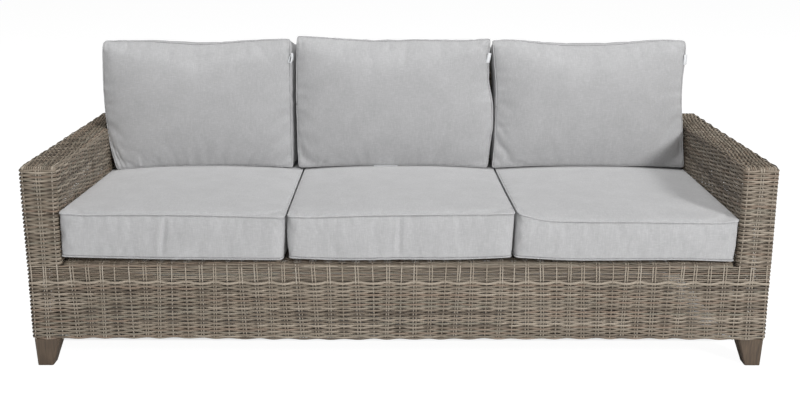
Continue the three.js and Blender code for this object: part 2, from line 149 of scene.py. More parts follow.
# %% [markdown]
# ## The drift of hand work
# A machine's rows are straight, a weaver's are not. A slow drift of a few millimetres is worked out from
# the place alone, so strands that cross there drift together and never come apart. It runs mostly along the
# wall: across it, only a small share is kept, or the wall would look soft.

# %% Drift
hand = np.random.default_rng(7)
wave_count = 9
shortest_wave, longest_wave = 160 * MM, 700 * MM
wave_lengths = hand.uniform(shortest_wave, longest_wave, wave_count)
wave_ways = hand.normal(size=(wave_count, 3))
wave_ways /= np.linalg.norm(wave_ways, axis=1, keepdims=True)
waves = wave_ways * (2 * math.pi / wave_lengths)[:, None]
wave_phases = hand.uniform(0, 2 * math.pi, wave_count)
drift_reach = np.array([7.0, 6.0, 1.8]) * MM
wave_reach = hand.normal(size=(wave_count, 3)) * drift_reach / math.sqrt(wave_count)
share_across = 0.12


def drifted(lines, outward):
    """The lines with the drift of their place added."""
    drift = np.sin(lines @ waves.T + wave_phases) @ wave_reach
    across = np.sum(drift * outward, axis=-1, keepdims=True) * outward
    return lines + drift - (1 - share_across) * across


print("drift in mm along X, Y and Z, at most about:", np.abs(wave_reach).sum(axis=0).round(4) / MM)

# %% [markdown]
# ## Laying strands
# Each strand carries two things for its finish: a number that says which batch of colour it is, and a map.
# The map's first number is the length along the strand in metres and its second the share of a turn round
# it, so fine lines can run along the strand wherever it bends. The second number is nought or one where the
# strand faces out of the wall. Where a face crosses the end of the turn, its corners are kept on one side.

# %% Map of a strand


def unit(vectors):
    """The same directions, one long."""
    return vectors / np.maximum(np.linalg.norm(vectors, axis=-1, keepdims=True), 1e-9)


def strand_map(mesh, length_along, turn):
    """A UV map: how far along the strand, and how far round it."""
    corner_vertex = read(mesh.loops, "vertex_index", 1, np.int32)
    face_start = read(mesh.polygons, "loop_start", 1, np.int32)
    face_size = read(mesh.polygons, "loop_total", 1, np.int32)
    first = np.repeat(turn[corner_vertex[face_start]], face_size)
    around = turn[corner_vertex]
    around = around + np.round(first - around)
    layer = mesh.uv_layers.new(name="strand")
    places = np.stack([length_along[corner_vertex], around], -1)
    layer.data.foreach_set("uv", places.astype(np.float32).ravel())


print("a direction of 3, 0, 4 made one long:", unit(np.array([3.0, 0.0, 4.0])))

# %% [markdown]
# ## Laying strands
# `lay` takes the line of each strand and the direction that faces out of the wall. From these it finds the
# strand's own across and out directions at every ring and sets the ring there. Six sides are enough for a
# strand this thin, because it is shaded smooth. A sweep along a curve could do the same for one strand, but
# it turns where the line bends, and here every strand has to keep its flat side to the wall.

# %% Lay strands along lines
strand_sides = 6


def lay(name, lines, outward, width, thickness, batch, sides=strand_sides, drift=True):
    """Strands along lines, given as strand, ring and XYZ. Sizes may differ by strand and by ring."""
    if drift:
        lines = drifted(lines, outward)
    count, rings, _ = lines.shape
    mesh = rods(count, rings - 1, sides)
    mesh.name = name
    straight = read(mesh.vertices, "co", 3).astype(float)
    strand = np.rint(straight[:, 1] / rod_gap).astype(int)
    ring = np.rint(straight[:, 0]).astype(int)
    across = straight[:, 1] - strand * rod_gap
    rise = straight[:, 2]
    ahead = unit(np.gradient(lines, axis=1))
    side = unit(np.cross(outward, ahead))
    out = np.cross(ahead, side)
    half_widths = np.broadcast_to(width, (count, rings)) / 2
    half_thicknesses = np.broadcast_to(thickness, (count, rings)) / 2
    place = lines[strand, ring]
    place = place + side[strand, ring] * (across * half_widths[strand, ring])[:, None]
    place = place + out[strand, ring] * (rise * half_thicknesses[strand, ring])[:, None]
    mesh.vertices.foreach_set("co", place.astype(np.float32).ravel())
    travel = np.linalg.norm(np.diff(lines, axis=1), axis=-1)
    travel = np.concatenate([np.zeros((count, 1)), np.cumsum(travel, axis=1)], axis=1)
    strand_map(mesh, travel[strand, ring], np.arctan2(across, -rise) / (2 * math.pi) + 0.5)
    tint = mesh.attributes.new("batch", "FLOAT", "POINT")
    tint.data.foreach_set("value", np.broadcast_to(batch, (count, rings))[strand, ring].astype(np.float32))
    mesh.shade_smooth()
    mesh.update()
    piece = bpy.data.objects.new(name, mesh)
    bpy.context.scene.collection.objects.link(piece)
    triangles = sum(len(face.vertices) - 2 for face in mesh.polygons)
    print(f"{name}: {count} strands, {triangles} triangles")
    return piece


# %% [markdown]
# ## Colours and nodes
# Colours are written as they are seen, in sRGB, and turned to the linear values that Blender mixes with.
# One helper adds a node, sets its inputs and links it, so each finish reads as a short recipe.

# %% Colour and node helpers
multiply = {"operation": "MULTIPLY"}


def linear(hex_colour, alpha=1):
    """An sRGB hex colour in the linear values that Blender mixes with."""
    parts = [int(hex_colour[i : i + 2], 16) / 255 for i in (1, 3, 5)]
    return [c / 12.92 if c <= 0.04045 else ((c + 0.055) / 1.055) ** 2.4 for c in parts] + [alpha]


def node(material, kind, settings=None, **inputs):
    """Adds a node. An input is a value, or a link given as (node, output name)."""
    added = material.node_tree.nodes.new(kind)
    for name, value in (settings or {}).items():
        setattr(added, name, value)
    for name, value in inputs.items():
        place = int(name[1:]) if name[1:].isdigit() else name.replace("_", " ")
        socket = added.inputs[place]
        if isinstance(value, tuple) and isinstance(value[1], str):
            material.node_tree.links.new(value[0].outputs[value[1]], socket)
        else:
            socket.default_value = value
    return added


def new_material(name, **surface):
    """A material and its shader, with these values on the shader's own sockets."""
    material = bpy.data.materials.new(name)
    material.use_nodes = True
    shader = material.node_tree.nodes["Principled BSDF"]
    for socket, value in surface.items():
        shader.inputs[socket.replace("_", " ")].default_value = value
    return material, shader


def link(material, source, output, target, socket):
    """Joins an output of one node to an input of another."""
    material.node_tree.links.new(source.outputs[output], target.inputs[socket])


def rescaled(low, high, to_low, to_high):
    """The inputs of a map range: what it reads and what it gives."""
    return dict(From_Min=low, From_Max=high, To_Min=to_low, To_Max=to_high)


def colours(ramp, stops):
    """Fills a colour ramp from (place, hex) pairs."""
    elements = ramp.color_ramp.elements
    while len(elements) < len(stops):
        elements.new(0.5)
    for element, (place, colour) in zip(elements, stops):
        element.position = place
        element.color = linear(colour)


print("a mid taupe in linear:", [round(c, 3) for c in linear("#8a7f72")[:3]])

# %% [markdown]
# ## Finish: polyethylene strand
# The strand is extruded polyethylene, coloured right through and drawn over a ribbed die, so it has a low
# satin shine and fine lines along it. Makers mix several batches to look like weathered cane: taupe, greyer
# and browner ones, and a few pale ones. The batch number picks the colour. The lines along the strand are
# noise stretched on its own map, 18 to a turn, which is 0.9 mm apart, and some 60 mm long. Its colour is
# also darkened towards its two edges and its inner side, as painted shade between the rows. The cosine of
# that share of a turn is one on the outer side, so it tells how far a point faces out.

# %% Strand material
strand_pe, shader = new_material("strand_extruded_polyethylene", Roughness=0.5)
batch = node(strand_pe, "ShaderNodeAttribute", {"attribute_name": "batch"})
ramp = node(strand_pe, "ShaderNodeValToRGB", Fac=(batch, "Fac"))
colours(
    ramp,
    [
        (0, "#63584c"),
        (0.18, "#837768"),
        (0.4, "#918576"),
        (0.52, "#8b7969"),
        (0.62, "#867f71"),
        (0.74, "#998d7e"),
        (0.86, "#a89c8c"),
        (1, "#bab0a2"),
    ],
)
line_length = 62.5 * MM
lines_round = 18
where = node(strand_pe, "ShaderNodeUVMap", {"uv_map": "strand"})
stretch = node(strand_pe, "ShaderNodeMapping", Vector=(where, "UV"), Scale=(1 / line_length, lines_round, 1))
grain = node(strand_pe, "ShaderNodeTexNoise", Vector=(stretch, "Vector"), Scale=1.0, Detail=3.0)
streak = node(strand_pe, "ShaderNodeMapRange", Value=(grain, "Fac"), **rescaled(0.3, 0.7, 0.78, 1.2))
parts = node(strand_pe, "ShaderNodeSeparateXYZ", Vector=(where, "UV"))
turned = node(strand_pe, "ShaderNodeMath", multiply, _0=(parts, "Y"), _1=2 * math.pi)
facing = node(strand_pe, "ShaderNodeMath", {"operation": "COSINE"}, _0=(turned, "Value"))
# Painted shade: the colour falls to 0.42 of itself towards the strand's edges and its inner side.
edges = node(strand_pe, "ShaderNodeMapRange", Value=(facing, "Value"), **rescaled(-0.1, 0.75, 0.42, 1.0))
shade = node(strand_pe, "ShaderNodeMath", multiply, _0=(streak, "Result"), _1=(edges, "Result"))
toned = node(
    strand_pe, "ShaderNodeVectorMath", {"operation": "SCALE"}, _0=(ramp, "Color"), Scale=(shade, "Value")
)
link(strand_pe, toned, "Vector", shader, "Base Color")
ribs = node(strand_pe, "ShaderNodeBump", Height=(grain, "Fac"), Strength=0.25, Distance=0.3 * MM)
link(strand_pe, ribs, "Normal", shader, "Normal")
print("strand material nodes:", len(strand_pe.node_tree.nodes))

# %% [markdown]
# ## A line with rounded corners
# The weave goes round an arm as a belt does: straight runs joined by quarter rounds. One function draws
# such a line on any plane, and keeps the length along it and the direction out of it. The points are given
# so that the line turns left at each corner, which keeps its outer side on the right.

# %% Rounded lines
corner_steps = 6


def rounded(points, radii):
    """Length at each point, the points and the outward directions of a line with round corners."""
    points = [np.array(point, float) for point in points]
    radii = np.broadcast_to(radii, len(points) - 2)
    ways = [unit(after - before) for before, after in zip(points, points[1:])]
    places, outward = [points[0]], [np.array([ways[0][1], -ways[0][0]])]
    for corner, into, leaving, radius in zip(points[1:], ways, ways[1:], radii):
        for turn in np.linspace(0, math.pi / 2, corner_steps + 1):
            direction = into * math.sin(turn) - leaving * math.cos(turn)
            places.append(corner - into * radius + leaving * radius + direction * radius)
            outward.append(direction)
    places.append(points[-1])
    outward.append(np.array([ways[-1][1], -ways[-1][0]]))
    places, outward = np.array(places), np.array(outward)
    steps = np.linalg.norm(np.diff(places, axis=0), axis=1)
    return np.concatenate([[0], np.cumsum(steps)]), places, outward


def along(line, distance):
    """Places and outward directions at these lengths along such a line."""
    length, places, outward = line
    place = np.stack([np.interp(distance, length, places[:, i]) for i in (0, 1)], -1)
    way = np.stack([np.interp(distance, length, outward[:, i]) for i in (0, 1)], -1)
    return place, unit(way)


sample = rounded([(0, 0), (1, 0), (1, 1)], 0.1)
print(f"two sides of 1 m with a corner of 100 mm between them are {sample[0][-1]:.3f} m long")

# %% [markdown]
# ## Rows and stakes
# A row swings out over every second stake and in behind the others, and the next row does the opposite.
# That is a cosine of the stake count, with half a turn between rows. Hand work makes each float sag a
# little, and no two swings quite alike. A new length of strand, of another batch, starts every few stakes.

# %% Swing of a row
float_sag = 0.7 * MM
swing_unevenness = 0.12
uneven = np.random.default_rng(11)
batch_length = 9
row_batches = 0.86


def swing_of(stakes, rows):
    """How far out each row lies at each stake count, and how far its floats sag."""
    wave = np.cos(math.pi * (stakes[None, :] + rows[:, None]))
    phase = uneven.uniform(0, 6.3, len(rows))[:, None]
    unevenness = 1 + swing_unevenness * np.sin(2.1 * stakes[None, :] + phase)
    return swing * wave * unevenness, -float_sag * wave


def batches(count, stakes):
    """Each strand changes its colour batch every few stakes, where a new length of it starts."""
    start = uneven.uniform(0, batch_length, count)
    piece = np.floor((stakes[None, :] + start[:, None]) / batch_length).astype(int)
    drawn = row_batches * uneven.random((count, piece.max() - piece.min() + 1))
    return np.take_along_axis(drawn, piece - piece.min(), axis=1)


def row_waver(count, stakes):
    """A row's own small waver up and down."""
    phase = uneven.uniform(0, 2 * math.pi, (2, count, 1))
    return (0.35 * np.sin(0.9 * stakes + phase[0]) + 0.25 * np.sin(2.3 * stakes + phase[1])) * MM


def with_height(place, height):
    """Points of the plan, at a height."""
    return np.concatenate([place, height[..., None]], axis=-1)


def stand(plan_way):
    """A direction of the plan as a direction in space."""
    return np.concatenate([plan_way, np.zeros(plan_way.shape[:-1] + (1,))], axis=-1)


print(f"a float sags {float_sag / MM:.1f} mm, a length of strand runs past {batch_length} stakes")

# %% [markdown]
# ## Rows round the arms and the front
# Under the deck the rows run in one length round the whole sofa: up the rear of one arm, along its side,
# across the front and back along the other. Over the deck each arm has closed rows of its own. The stakes
# are counted from the middle of the left arm's front face, so the rows above and below keep step.

# %% Plan of the lower rows
arm_middle = half_width - arm_width / 2
arm_plan = rounded(
    [
        (-arm_middle, front),
        (-arm_inner, front),
        (-arm_inner, rear),
        (-half_width, rear),
        (-half_width, front),
        (-arm_middle, front),
    ],
    edge_radius,
)
arm_stakes = 2 * round(arm_plan[0][-1] / stake_pitch / 2)
arm_pitch = arm_plan[0][-1] / arm_stakes
front_stakes = 2 * round(2 * arm_middle / stake_pitch / 2)
front_pitch = 2 * arm_middle / front_stakes
rear_face = rear_apron_high.y
belt_plan = rounded(
    [
        (-arm_inner, rear_face),
        (-arm_inner, rear),
        (-half_width, rear),
        (-half_width, front),
        (half_width, front),
        (half_width, rear),
        (arm_inner, rear),
        (arm_inner, rear_face),
    ],
    edge_radius,
)


def belt_distance(stakes):
    """Length along the belt at a stake count. The count is nought at the middle of the left arm's front."""
    start = belt_plan[0][-1] / 2 - arm_middle
    on_front = np.clip(stakes, 0, front_stakes) * front_pitch
    beyond = np.minimum(stakes, 0) + np.maximum(stakes - front_stakes, 0)
    return start + on_front + beyond * arm_pitch


def quarter_stakes(first, last):
    """Stake counts in even steps of a quarter, from one count to another."""
    first_step, last_step = math.ceil(first * steps_per_stake), math.floor(last * steps_per_stake)
    return np.arange(first_step, last_step + 1) / steps_per_stake


def with_corners(stakes, line, to_distance):
    """Stake counts with more steps where the line turns."""
    fine = np.linspace(stakes[0], stakes[-1], 40 * len(stakes))
    bends = np.interp(line[0][1:-1:2], to_distance(fine), fine)
    near = np.abs(stakes[:, None] - bends[None]).min(axis=1) < 0.09
    return np.sort(np.concatenate([stakes[~near], bends]))


print(f"{arm_stakes} stakes round an arm {arm_pitch / MM:.2f} mm apart, {front_stakes} across the front")

# %% [markdown]
# ## Lower rows
# The rows start at the foot and stop where the front rounds over. Near the foot the wall turns under, so the
# lowest rows draw in. Where the weave goes over the seat rail it is a tight flat band: its rows are narrower
# and lie behind the stakes. The first row under the band is a thicker one that stands out, as a border does.

# %% Lower rows
first_row = ground_gap + strand_width / 2
band_height = 58 * MM
shoulder = deck_top - edge_radius
lower_rows = np.arange(int((shoulder - first_row) / row_pitch) + 1)
band_start = deck_top - band_height
faces_front = -0.7
band_swing = 0.5
band_depth = 0.8 * swing
band_row_share = 0.76
bold_row = int((band_start - first_row) / row_pitch)
bold_width = 1.3 * strand_width
bold_proud = 1.3 * MM
bold_sag = 2.2
bold_batch = 0.84
belt_ends = (belt_plan[0][-1] / 2 - arm_middle) / arm_pitch
belt_stakes = with_corners(quarter_stakes(-belt_ends, front_stakes + belt_ends), belt_plan, belt_distance)


def row_heights(rows):
    """The height of each row's middle."""
    return first_row + rows * row_pitch


def hem_inset(heights):
    """How far the lowest rows draw in where the wall turns under."""
    short = np.clip(foot_edge_radius - (heights - ground_gap), 0, foot_edge_radius)
    return foot_edge_radius - np.sqrt(foot_edge_radius**2 - short**2)


def wall_rows(name, place, outward, rows, stakes, banded=False):
    """Rows of a standing wall, from the places and outward directions at its stake counts."""
    out, sag = swing_of(stakes, rows)
    widths = np.full(out.shape, strand_width) * uneven.uniform(0.92, 1.06, (len(rows), 1))
    shades = batches(len(rows), stakes)
    if banded:
        on_front = outward[None, :, 1] < faces_front
        flat = on_front & (row_heights(rows)[:, None] > band_start)
        bold = on_front & (rows[:, None] == bold_row)
        out = np.where(flat, band_swing * out - band_depth, out)
        out = np.where(bold, out + bold_proud, out)
        sag = np.where(bold, bold_sag * sag, np.where(flat, 0, sag))
        widths = np.where(bold, bold_width, np.where(flat, band_row_share * widths, widths))
        shades = np.where(bold, bold_batch, shades)
    heights = row_heights(rows)[:, None] + sag + row_waver(len(rows), stakes)
    depth = out - weave_inset - hem_inset(row_heights(rows))[:, None]
    lines = with_height(place[None] + outward[None] * depth[..., None], heights)
    ways = np.broadcast_to(stand(outward)[None], lines.shape)
    return lay(name, lines, ways, widths, strand_thickness, shades)


woven = []
belt_place, belt_way = along(belt_plan, belt_distance(belt_stakes))
woven.append(wall_rows("lower_rows", belt_place, belt_way, lower_rows, belt_stakes, banded=True))

# %% [markdown]
# ## Upper rows of the arms
# Over the deck each arm is a closed ring, so its rows run once round it and meet at the middle of its rear
# face, where nobody looks. Their stake counts go on from the lower rows, so the pattern has no step in it.

# %% Upper rows of the arms
arm_shoulder = arm_top - edge_radius
upper_rows = np.arange(lower_rows[-1] + 1, int((arm_shoulder - first_row) / row_pitch) + 1)
loop_stakes = quarter_stakes(0, arm_stakes)
loop_stakes = with_corners(loop_stakes, arm_plan, lambda stakes: stakes * arm_pitch)
upper_half = loop_stakes >= arm_stakes / 2
lower_half = loop_stakes <= arm_stakes / 2
loop_stakes = np.concatenate([loop_stakes[upper_half][:-1], loop_stakes[lower_half] + arm_stakes])
arm_place, arm_way = along(arm_plan, (loop_stakes * arm_pitch) % arm_plan[0][-1])
to_right_arm = np.array([arm_middle * 2, 0])
for side, shift in (("left", 0), ("right", to_right_arm)):
    woven.append(wall_rows(f"{side}_arm_rows", arm_place + shift, arm_way, upper_rows, loop_stakes))

# %% [markdown]
# ## Over the arms
# The rows go on over the top of an arm, lengthwise. Each lies in its own upright plane: it starts under the
# last row of the front face, bends over the front edge, swings over the stakes as it runs back, and goes
# down again at the rear. Near the sides it sits on the rounded shoulder, where the bend gets tighter. The
# backrest's top is made the same way, with its length along X.

# %% Strands over a rounded top
shoulder_arc = edge_radius * math.pi / 2
bend_turns = np.radians([90, 67.5, 45, 22.5])
tuck = 9 * MM
tucked_depth = 1.6 * swing
bend_depth = 0.6 * swing
top_width = 0.8 * strand_width


def over_top(low, high, length_low, length_high, top, stakes, stake_place):
    """Lines over a rounded top, as (across, lengthwise, height), and their outward ways."""
    flat = high - low - 2 * edge_radius
    whole = flat + 2 * shoulder_arc
    count = round(whole / row_pitch)
    reach = (np.arange(count) + 0.5) * whole / count
    lean = np.clip(reach / edge_radius - math.pi / 2, -math.pi / 2, 0)
    lean = lean + np.clip((reach - shoulder_arc - flat) / edge_radius, 0, math.pi / 2)
    core = low + edge_radius + np.clip(reach - shoulder_arc, 0, flat)
    core_low, core_high = length_low + edge_radius, length_high - edge_radius
    between = (stake_place > core_low + MM) & (stake_place < core_high - MM)
    inside, counts = stake_place[between], stakes[between]
    ends = len(bend_turns) + 1
    turn = np.concatenate([[bend_turns[0]], bend_turns, 0 * inside, -bend_turns[::-1], [-bend_turns[0]]])
    place = np.concatenate([np.full(ends, core_low), inside, np.full(ends, core_high)])
    drop = np.concatenate([[tuck], np.zeros(len(turn) - 2), [tuck]])
    wave = np.concatenate([np.zeros(ends), np.cos(math.pi * counts), np.zeros(ends)])
    sign = np.where(np.arange(count) % 2, -1, 1)
    bent = bend_depth * np.sin(bend_turns)
    sunk = np.concatenate([[tucked_depth], bent, 0 * inside, bent[::-1], [tucked_depth]])
    depth = sign[:, None] * swing * wave[None] - weave_inset - sunk[None]
    outward = np.stack(
        [
            np.broadcast_to(np.sin(lean)[:, None], depth.shape),
            -np.cos(lean)[:, None] * np.sin(turn)[None],
            np.cos(lean)[:, None] * np.cos(turn)[None],
        ],
        -1,
    )
    heart = np.stack(
        [
            np.broadcast_to(core[:, None], depth.shape),
            np.broadcast_to(place[None], depth.shape),
            np.broadcast_to((top - edge_radius - drop)[None], depth.shape),
        ],
        -1,
    )
    return heart + outward * (edge_radius + depth)[..., None], outward


def side_place(stakes):
    """Where on an arm's side a stake count is."""
    return front + edge_radius - (arm_width / 2 - edge_radius) - shoulder_arc + stakes * arm_pitch


top_stakes = quarter_stakes(0, arm_stakes / 2)
top_places = side_place(top_stakes)
for side, shift in (("left", 0), ("right", 2 * arm_middle)):
    lines, ways = over_top(-half_width, -arm_inner, front, rear, arm_top, top_stakes, top_places)
    lines = lines + np.array([shift, 0, 0])
    batch_of = batches(len(lines), np.arange(lines.shape[1]) / steps_per_stake)
    woven.append(lay(f"{side}_arm_top_strands", lines, ways, top_width, strand_thickness, batch_of))

# %% [markdown]
# ## Stakes
# The stakes are the strands that the rows are woven on. On an arm they go up one side, over the top and
# down the other; on the front they come from under the lower rail and turn over the seat rail. Most are
# laid in pairs and some are single, which shows as a double or a single bright line. Their colour is kept
# pale as a painted highlight, for the light that catches a stake along its whole length. A bundle of them
# follows one profile line, so an arm's hoop and the front's turn are only different profiles.

# %% Stakes of the arms
stake_step = 12 * MM
single_share = 0.3
# Stakes take the pale end of the batches, as a painted highlight.
stake_highlight_batches = (0.8, 0.96)


def paired(count, seed):
    """Sideways places of the strands of each stake: two for a pair, one for a single."""
    single = np.random.default_rng(seed).random(count) < single_share
    offsets = [(0,) if alone else (-stake_spread / 2, stake_spread / 2) for alone in single]
    index = np.repeat(np.arange(count), [len(pair) for pair in offsets])
    return index, np.concatenate(offsets)


def stake_bundle(name, line, places, to_space, seed, bent=np.copy):
    """Stakes along one profile line, at places along the wall. Bent is what is done to their lines last."""
    index, offset = paired(len(places), seed)
    distance = np.linspace(0, line[0][-1], max(2, round(line[0][-1] / stake_step)) + 1)
    profile, way = along(line, distance)
    profile = profile - way * weave_inset
    spots = places[index] + offset
    lines = to_space(np.broadcast_to(spots[:, None], (len(spots), len(distance))), profile[None])
    ways = to_space(np.zeros((len(spots), len(distance))), way[None])
    batch_of = uneven.uniform(*stake_highlight_batches, len(spots))[:, None]
    return lay(name, bent(lines), ways, stake_width, stake_thickness, batch_of)


def across_x(spot, profile):
    """Profile on (y, z), place along X."""
    profile = np.broadcast_to(profile, spot.shape + (2,))
    return np.stack([spot, profile[..., 0], profile[..., 1]], -1)


def across_y(spot, profile):
    """Profile on (x, z), place along Y."""
    profile = np.broadcast_to(profile, spot.shape + (2,))
    return np.stack([profile[..., 0], spot, profile[..., 1]], -1)


stake_low = ground_gap + MM
hoop_places = side_place(np.arange(2, arm_stakes // 2 - 1))
for side, low, high, seed in (("left", -half_width, -arm_inner, 3), ("right", arm_inner, half_width, 4)):
    hoop = rounded([(high, stake_low), (high, arm_top), (low, arm_top), (low, stake_low)], edge_radius)
    woven.append(stake_bundle(f"{side}_arm_stakes", hoop, hoop_places, across_y, seed))

# %% [markdown]
# ## Stakes of the arms' end faces
# Three stakes come up each end face, go over the edge and run back along the top a little, where they are
# tucked in among the strands.

# %% Stakes of the arms' end faces
run_back = 74 * MM
front_face = rounded([(front + run_back, arm_top), (front, arm_top), (front, stake_low)], edge_radius)
rear_face_line = rounded([(rear, stake_low), (rear, arm_top), (rear - run_back, arm_top)], edge_radius)
face_places = np.array([-1, 0, 1]) * arm_pitch
for side, sign in (("left", -1), ("right", 1)):
    places = sign * arm_middle + face_places
    woven.append(stake_bundle(f"{side}_arm_front_stakes", front_face, places, across_x, seed=12))
    woven.append(stake_bundle(f"{side}_arm_rear_stakes", rear_face_line, places, across_x, seed=13))

# %% [markdown]
# ## Stakes of the front
# On the front the profile runs from the lip's inner edge over the seat rail, down the wall and under the
# foot rail, so one bundle gives the lip, the wall and the hem their stakes.

# %% Stakes of the front
hem_depth = 40 * MM
front_profile = rounded(
    [(apron_high.y, deck_top), (front, deck_top), (front, ground_gap), (front + hem_depth, ground_gap)],
    [edge_radius, foot_edge_radius],
)
front_places = -arm_middle + np.arange(2, front_stakes - 1) * front_pitch
woven.append(stake_bundle("front_stakes", front_profile, front_places, across_x, seed=5))

# %% [markdown]
# ## Lip and hem of the front
# The front wall turns back over the seat rail as a lip that carries the cushions, and turns under at the
# bottom as a hem. Both have rows of their own, laid along X at steps along the same profile as the stakes.

# %% Lip and hem rows
shelf_swing = 0.4
shelf_depth = 0.5


def shelf_rows(name, profile, distances, stakes, places):
    """Rows along X at steps along a profile, mostly on the inner side of the stakes."""
    spots, way = along(profile, distances)
    wave = np.cos(math.pi * (stakes[None] + np.arange(len(distances))[:, None]))
    depth = swing * (shelf_swing * wave - shelf_depth) - weave_inset
    plan = spots[:, None] + way[:, None] * depth[..., None]
    lines = np.concatenate([np.broadcast_to(places[None, :, None], depth.shape + (1,)), plan], -1)
    ways = np.concatenate([np.zeros((len(distances), 1, 1)), way[:, None]], -1)
    ways = np.broadcast_to(ways, lines.shape)
    return lay(name, lines, ways, top_width, strand_thickness, batches(len(distances), stakes))


inner_stakes = quarter_stakes(1.3, front_stakes - 1.3)
inner_places = -arm_middle + inner_stakes * front_pitch
lip_depth = apron_high.y - front
lip_length = lip_depth - edge_radius + shoulder_arc
lip_distances = np.arange(strand_width / 2, lip_length, row_pitch)
hem_length = hem_depth - foot_edge_radius
hem_distances = front_profile[0][-1] - np.arange(strand_width / 2, hem_length, row_pitch)
woven.append(shelf_rows("front_lip_rows", front_profile, lip_distances, inner_stakes, inner_places))
woven.append(shelf_rows("front_hem_rows", front_profile, hem_distances, inner_stakes, inner_places))

# %% [markdown]
# ## Inner and rear walls below the seat
# Flat walls close the arms towards the space under the seat, and one closes the back. They are woven like the
# rest, one row above another.

# %% Flat walls below the seat
wall_stake_rings = 12


def flat_wall(name, start, end, outward, rows):
    """Rows and stakes of a flat standing wall between two points of the plan."""
    start, end, outward = np.array(start, float), np.array(end, float), np.array(outward, float)
    length = np.linalg.norm(end - start)
    count = round(length / stake_pitch)
    stakes = np.arange(count * steps_per_stake + 1) / steps_per_stake
    place = start + (end - start) * (stakes / count)[:, None]
    way = np.broadcast_to(outward, place.shape)
    walls = [wall_rows(f"{name}_rows", place, way, rows, stakes)]
    index, offset = paired(count - 1, seed=21)
    ahead = (end - start) / length
    feet = start + ahead * (((index + 1) * length / count + offset)[:, None]) - outward * weave_inset
    heights = np.linspace(stake_low, row_heights(rows)[-1], wall_stake_rings)
    plan = np.broadcast_to(feet[:, None], (len(feet), wall_stake_rings, 2))
    lines = with_height(plan, np.broadcast_to(heights, plan.shape[:2]))
    ways = np.broadcast_to(np.append(outward, 0.0), lines.shape)
    batch_of = uneven.uniform(*stake_highlight_batches, len(feet))[:, None]
    walls.append(lay(f"{name}_stakes", lines, ways, stake_width, stake_thickness, batch_of))
    return walls


wall_end = strand_width
seat_rows = np.arange(int((deck_top - strand_width / 2 - first_row) / row_pitch) + 1)
for side, sign in (("left", -1), ("right", 1)):
    ends = [(sign * arm_inner, apron_high.y + wall_end), (sign * arm_inner, rear_apron_low.y - wall_end)]
    woven.extend(flat_wall(f"{side}_inner_wall", *ends, (-sign, 0), seat_rows))
rear_ends = [(-arm_inner + wall_end, rear_face), (arm_inner - wall_end, rear_face)]
woven.extend(flat_wall("rear_wall", *rear_ends, (0, 1), np.arange(len(seat_rows) + 1)))

# %% [markdown]
# ## Undersides of the arms
# Nobody sees the arms from below, but their weave is closed there, so that nothing gets into the hollow
# between the tubes. Plain rows run from front to rear.

# %% Undersides of the arms
under_rings = 60
under_count = int((arm_width - 2 * foot_edge_radius) / row_pitch)
under_x = (np.arange(under_count) - (under_count - 1) / 2) * row_pitch
under_y = np.linspace(front + foot_edge_radius, rear - foot_edge_radius, under_rings)
for side, sign in (("left", -1), ("right", 1)):
    lines = np.zeros((under_count, len(under_y), 3))
    lines[..., 0] = (sign * arm_middle + under_x)[:, None]
    lines[..., 1] = under_y
    lines[..., 2] = ground_gap + weave_inset
    ways = np.broadcast_to([0.0, 0.0, -1.0], lines.shape)
    batch_of = batches(under_count, under_y / stake_pitch)
    woven.append(lay(f"{side}_arm_underside", lines, ways, strand_width, strand_thickness, batch_of))

# %% [markdown]
# ## Backrest
# The backrest is one panel that leans back, woven round on both faces. It is made upright and then sheared,
# because its rows stay level and its stakes follow the lean. The rows are kept as two pieces, a lower and an
# upper one, so that neither has more triangles than one piece may.

# %% Rows of the backrest
back_foot = back_low.y
back_plan = rounded(
    [
        (0, back_foot),
        (back_half, back_foot),
        (back_half, back_foot + back_thickness),
        (-back_half, back_foot + back_thickness),
        (-back_half, back_foot),
        (0, back_foot),
    ],
    edge_radius,
)
back_stakes = 2 * round(back_plan[0][-1] / stake_pitch / 2)
back_pitch = back_plan[0][-1] / back_stakes
first_back_row = math.ceil((deck_top - first_row) / row_pitch)
last_back_row = int((back_top - edge_radius - first_row) / row_pitch)
back_rows = np.arange(first_back_row, last_back_row + 1)


def leaned(lines):
    """The backrest's lean, from its foot up."""
    lines = lines.copy()
    lines[..., 1] += (lines[..., 2] - back_low.z) * rake
    return lines


def back_wall(name, rows):
    """Rows round the backrest."""
    stakes = with_corners(quarter_stakes(0, back_stakes), back_plan, lambda counts: counts * back_pitch)
    place, way = along(back_plan, stakes * back_pitch)
    out, sag = swing_of(stakes, rows)
    heights = row_heights(rows)[:, None] + sag + row_waver(len(rows), stakes)
    lines = leaned(with_height(place[None] + way[None] * (out - weave_inset)[..., None], heights))
    ways = np.broadcast_to(stand(way)[None], lines.shape)
    return lay(name, lines, ways, strand_width, strand_thickness, batches(len(rows), stakes))


lower_count = len(back_rows) // 2
woven.append(back_wall("back_rows_low", back_rows[:lower_count]))
woven.append(back_wall("back_rows_high", back_rows[lower_count:]))

# %% [markdown]
# ## Top and stakes of the backrest
# The strands over the top and the stakes come from the same functions as those of the arms. The top was
# worked out with its length along Y, so X and Y change places, and then all of it takes the lean.

# %% Top and stakes of the backrest
back_rear = back_foot + back_thickness
x_and_y_swapped = [1, 0, 2]
top_counts = quarter_stakes(-back_stakes / 2, back_stakes / 2)
top_places = top_counts * back_pitch
lines, ways = over_top(back_foot, back_rear, -back_half, back_half, back_top, top_counts, top_places)
lines, ways = leaned(lines[..., x_and_y_swapped]), ways[..., x_and_y_swapped]
batch_of = batches(len(lines), np.arange(lines.shape[1]) / steps_per_stake)
woven.append(lay("back_top_strands", lines, ways, top_width, strand_thickness, batch_of))
back_profile = rounded(
    [(back_rear, back_low.z), (back_rear, back_top), (back_foot, back_top), (back_foot, back_low.z)],
    edge_radius,
)
back_reach = int((back_half - edge_radius) / back_pitch)
back_places = np.arange(-back_reach, back_reach + 1) * back_pitch
woven.append(stake_bundle("back_stakes", back_profile, back_places, across_x, seed=9, bent=leaned))

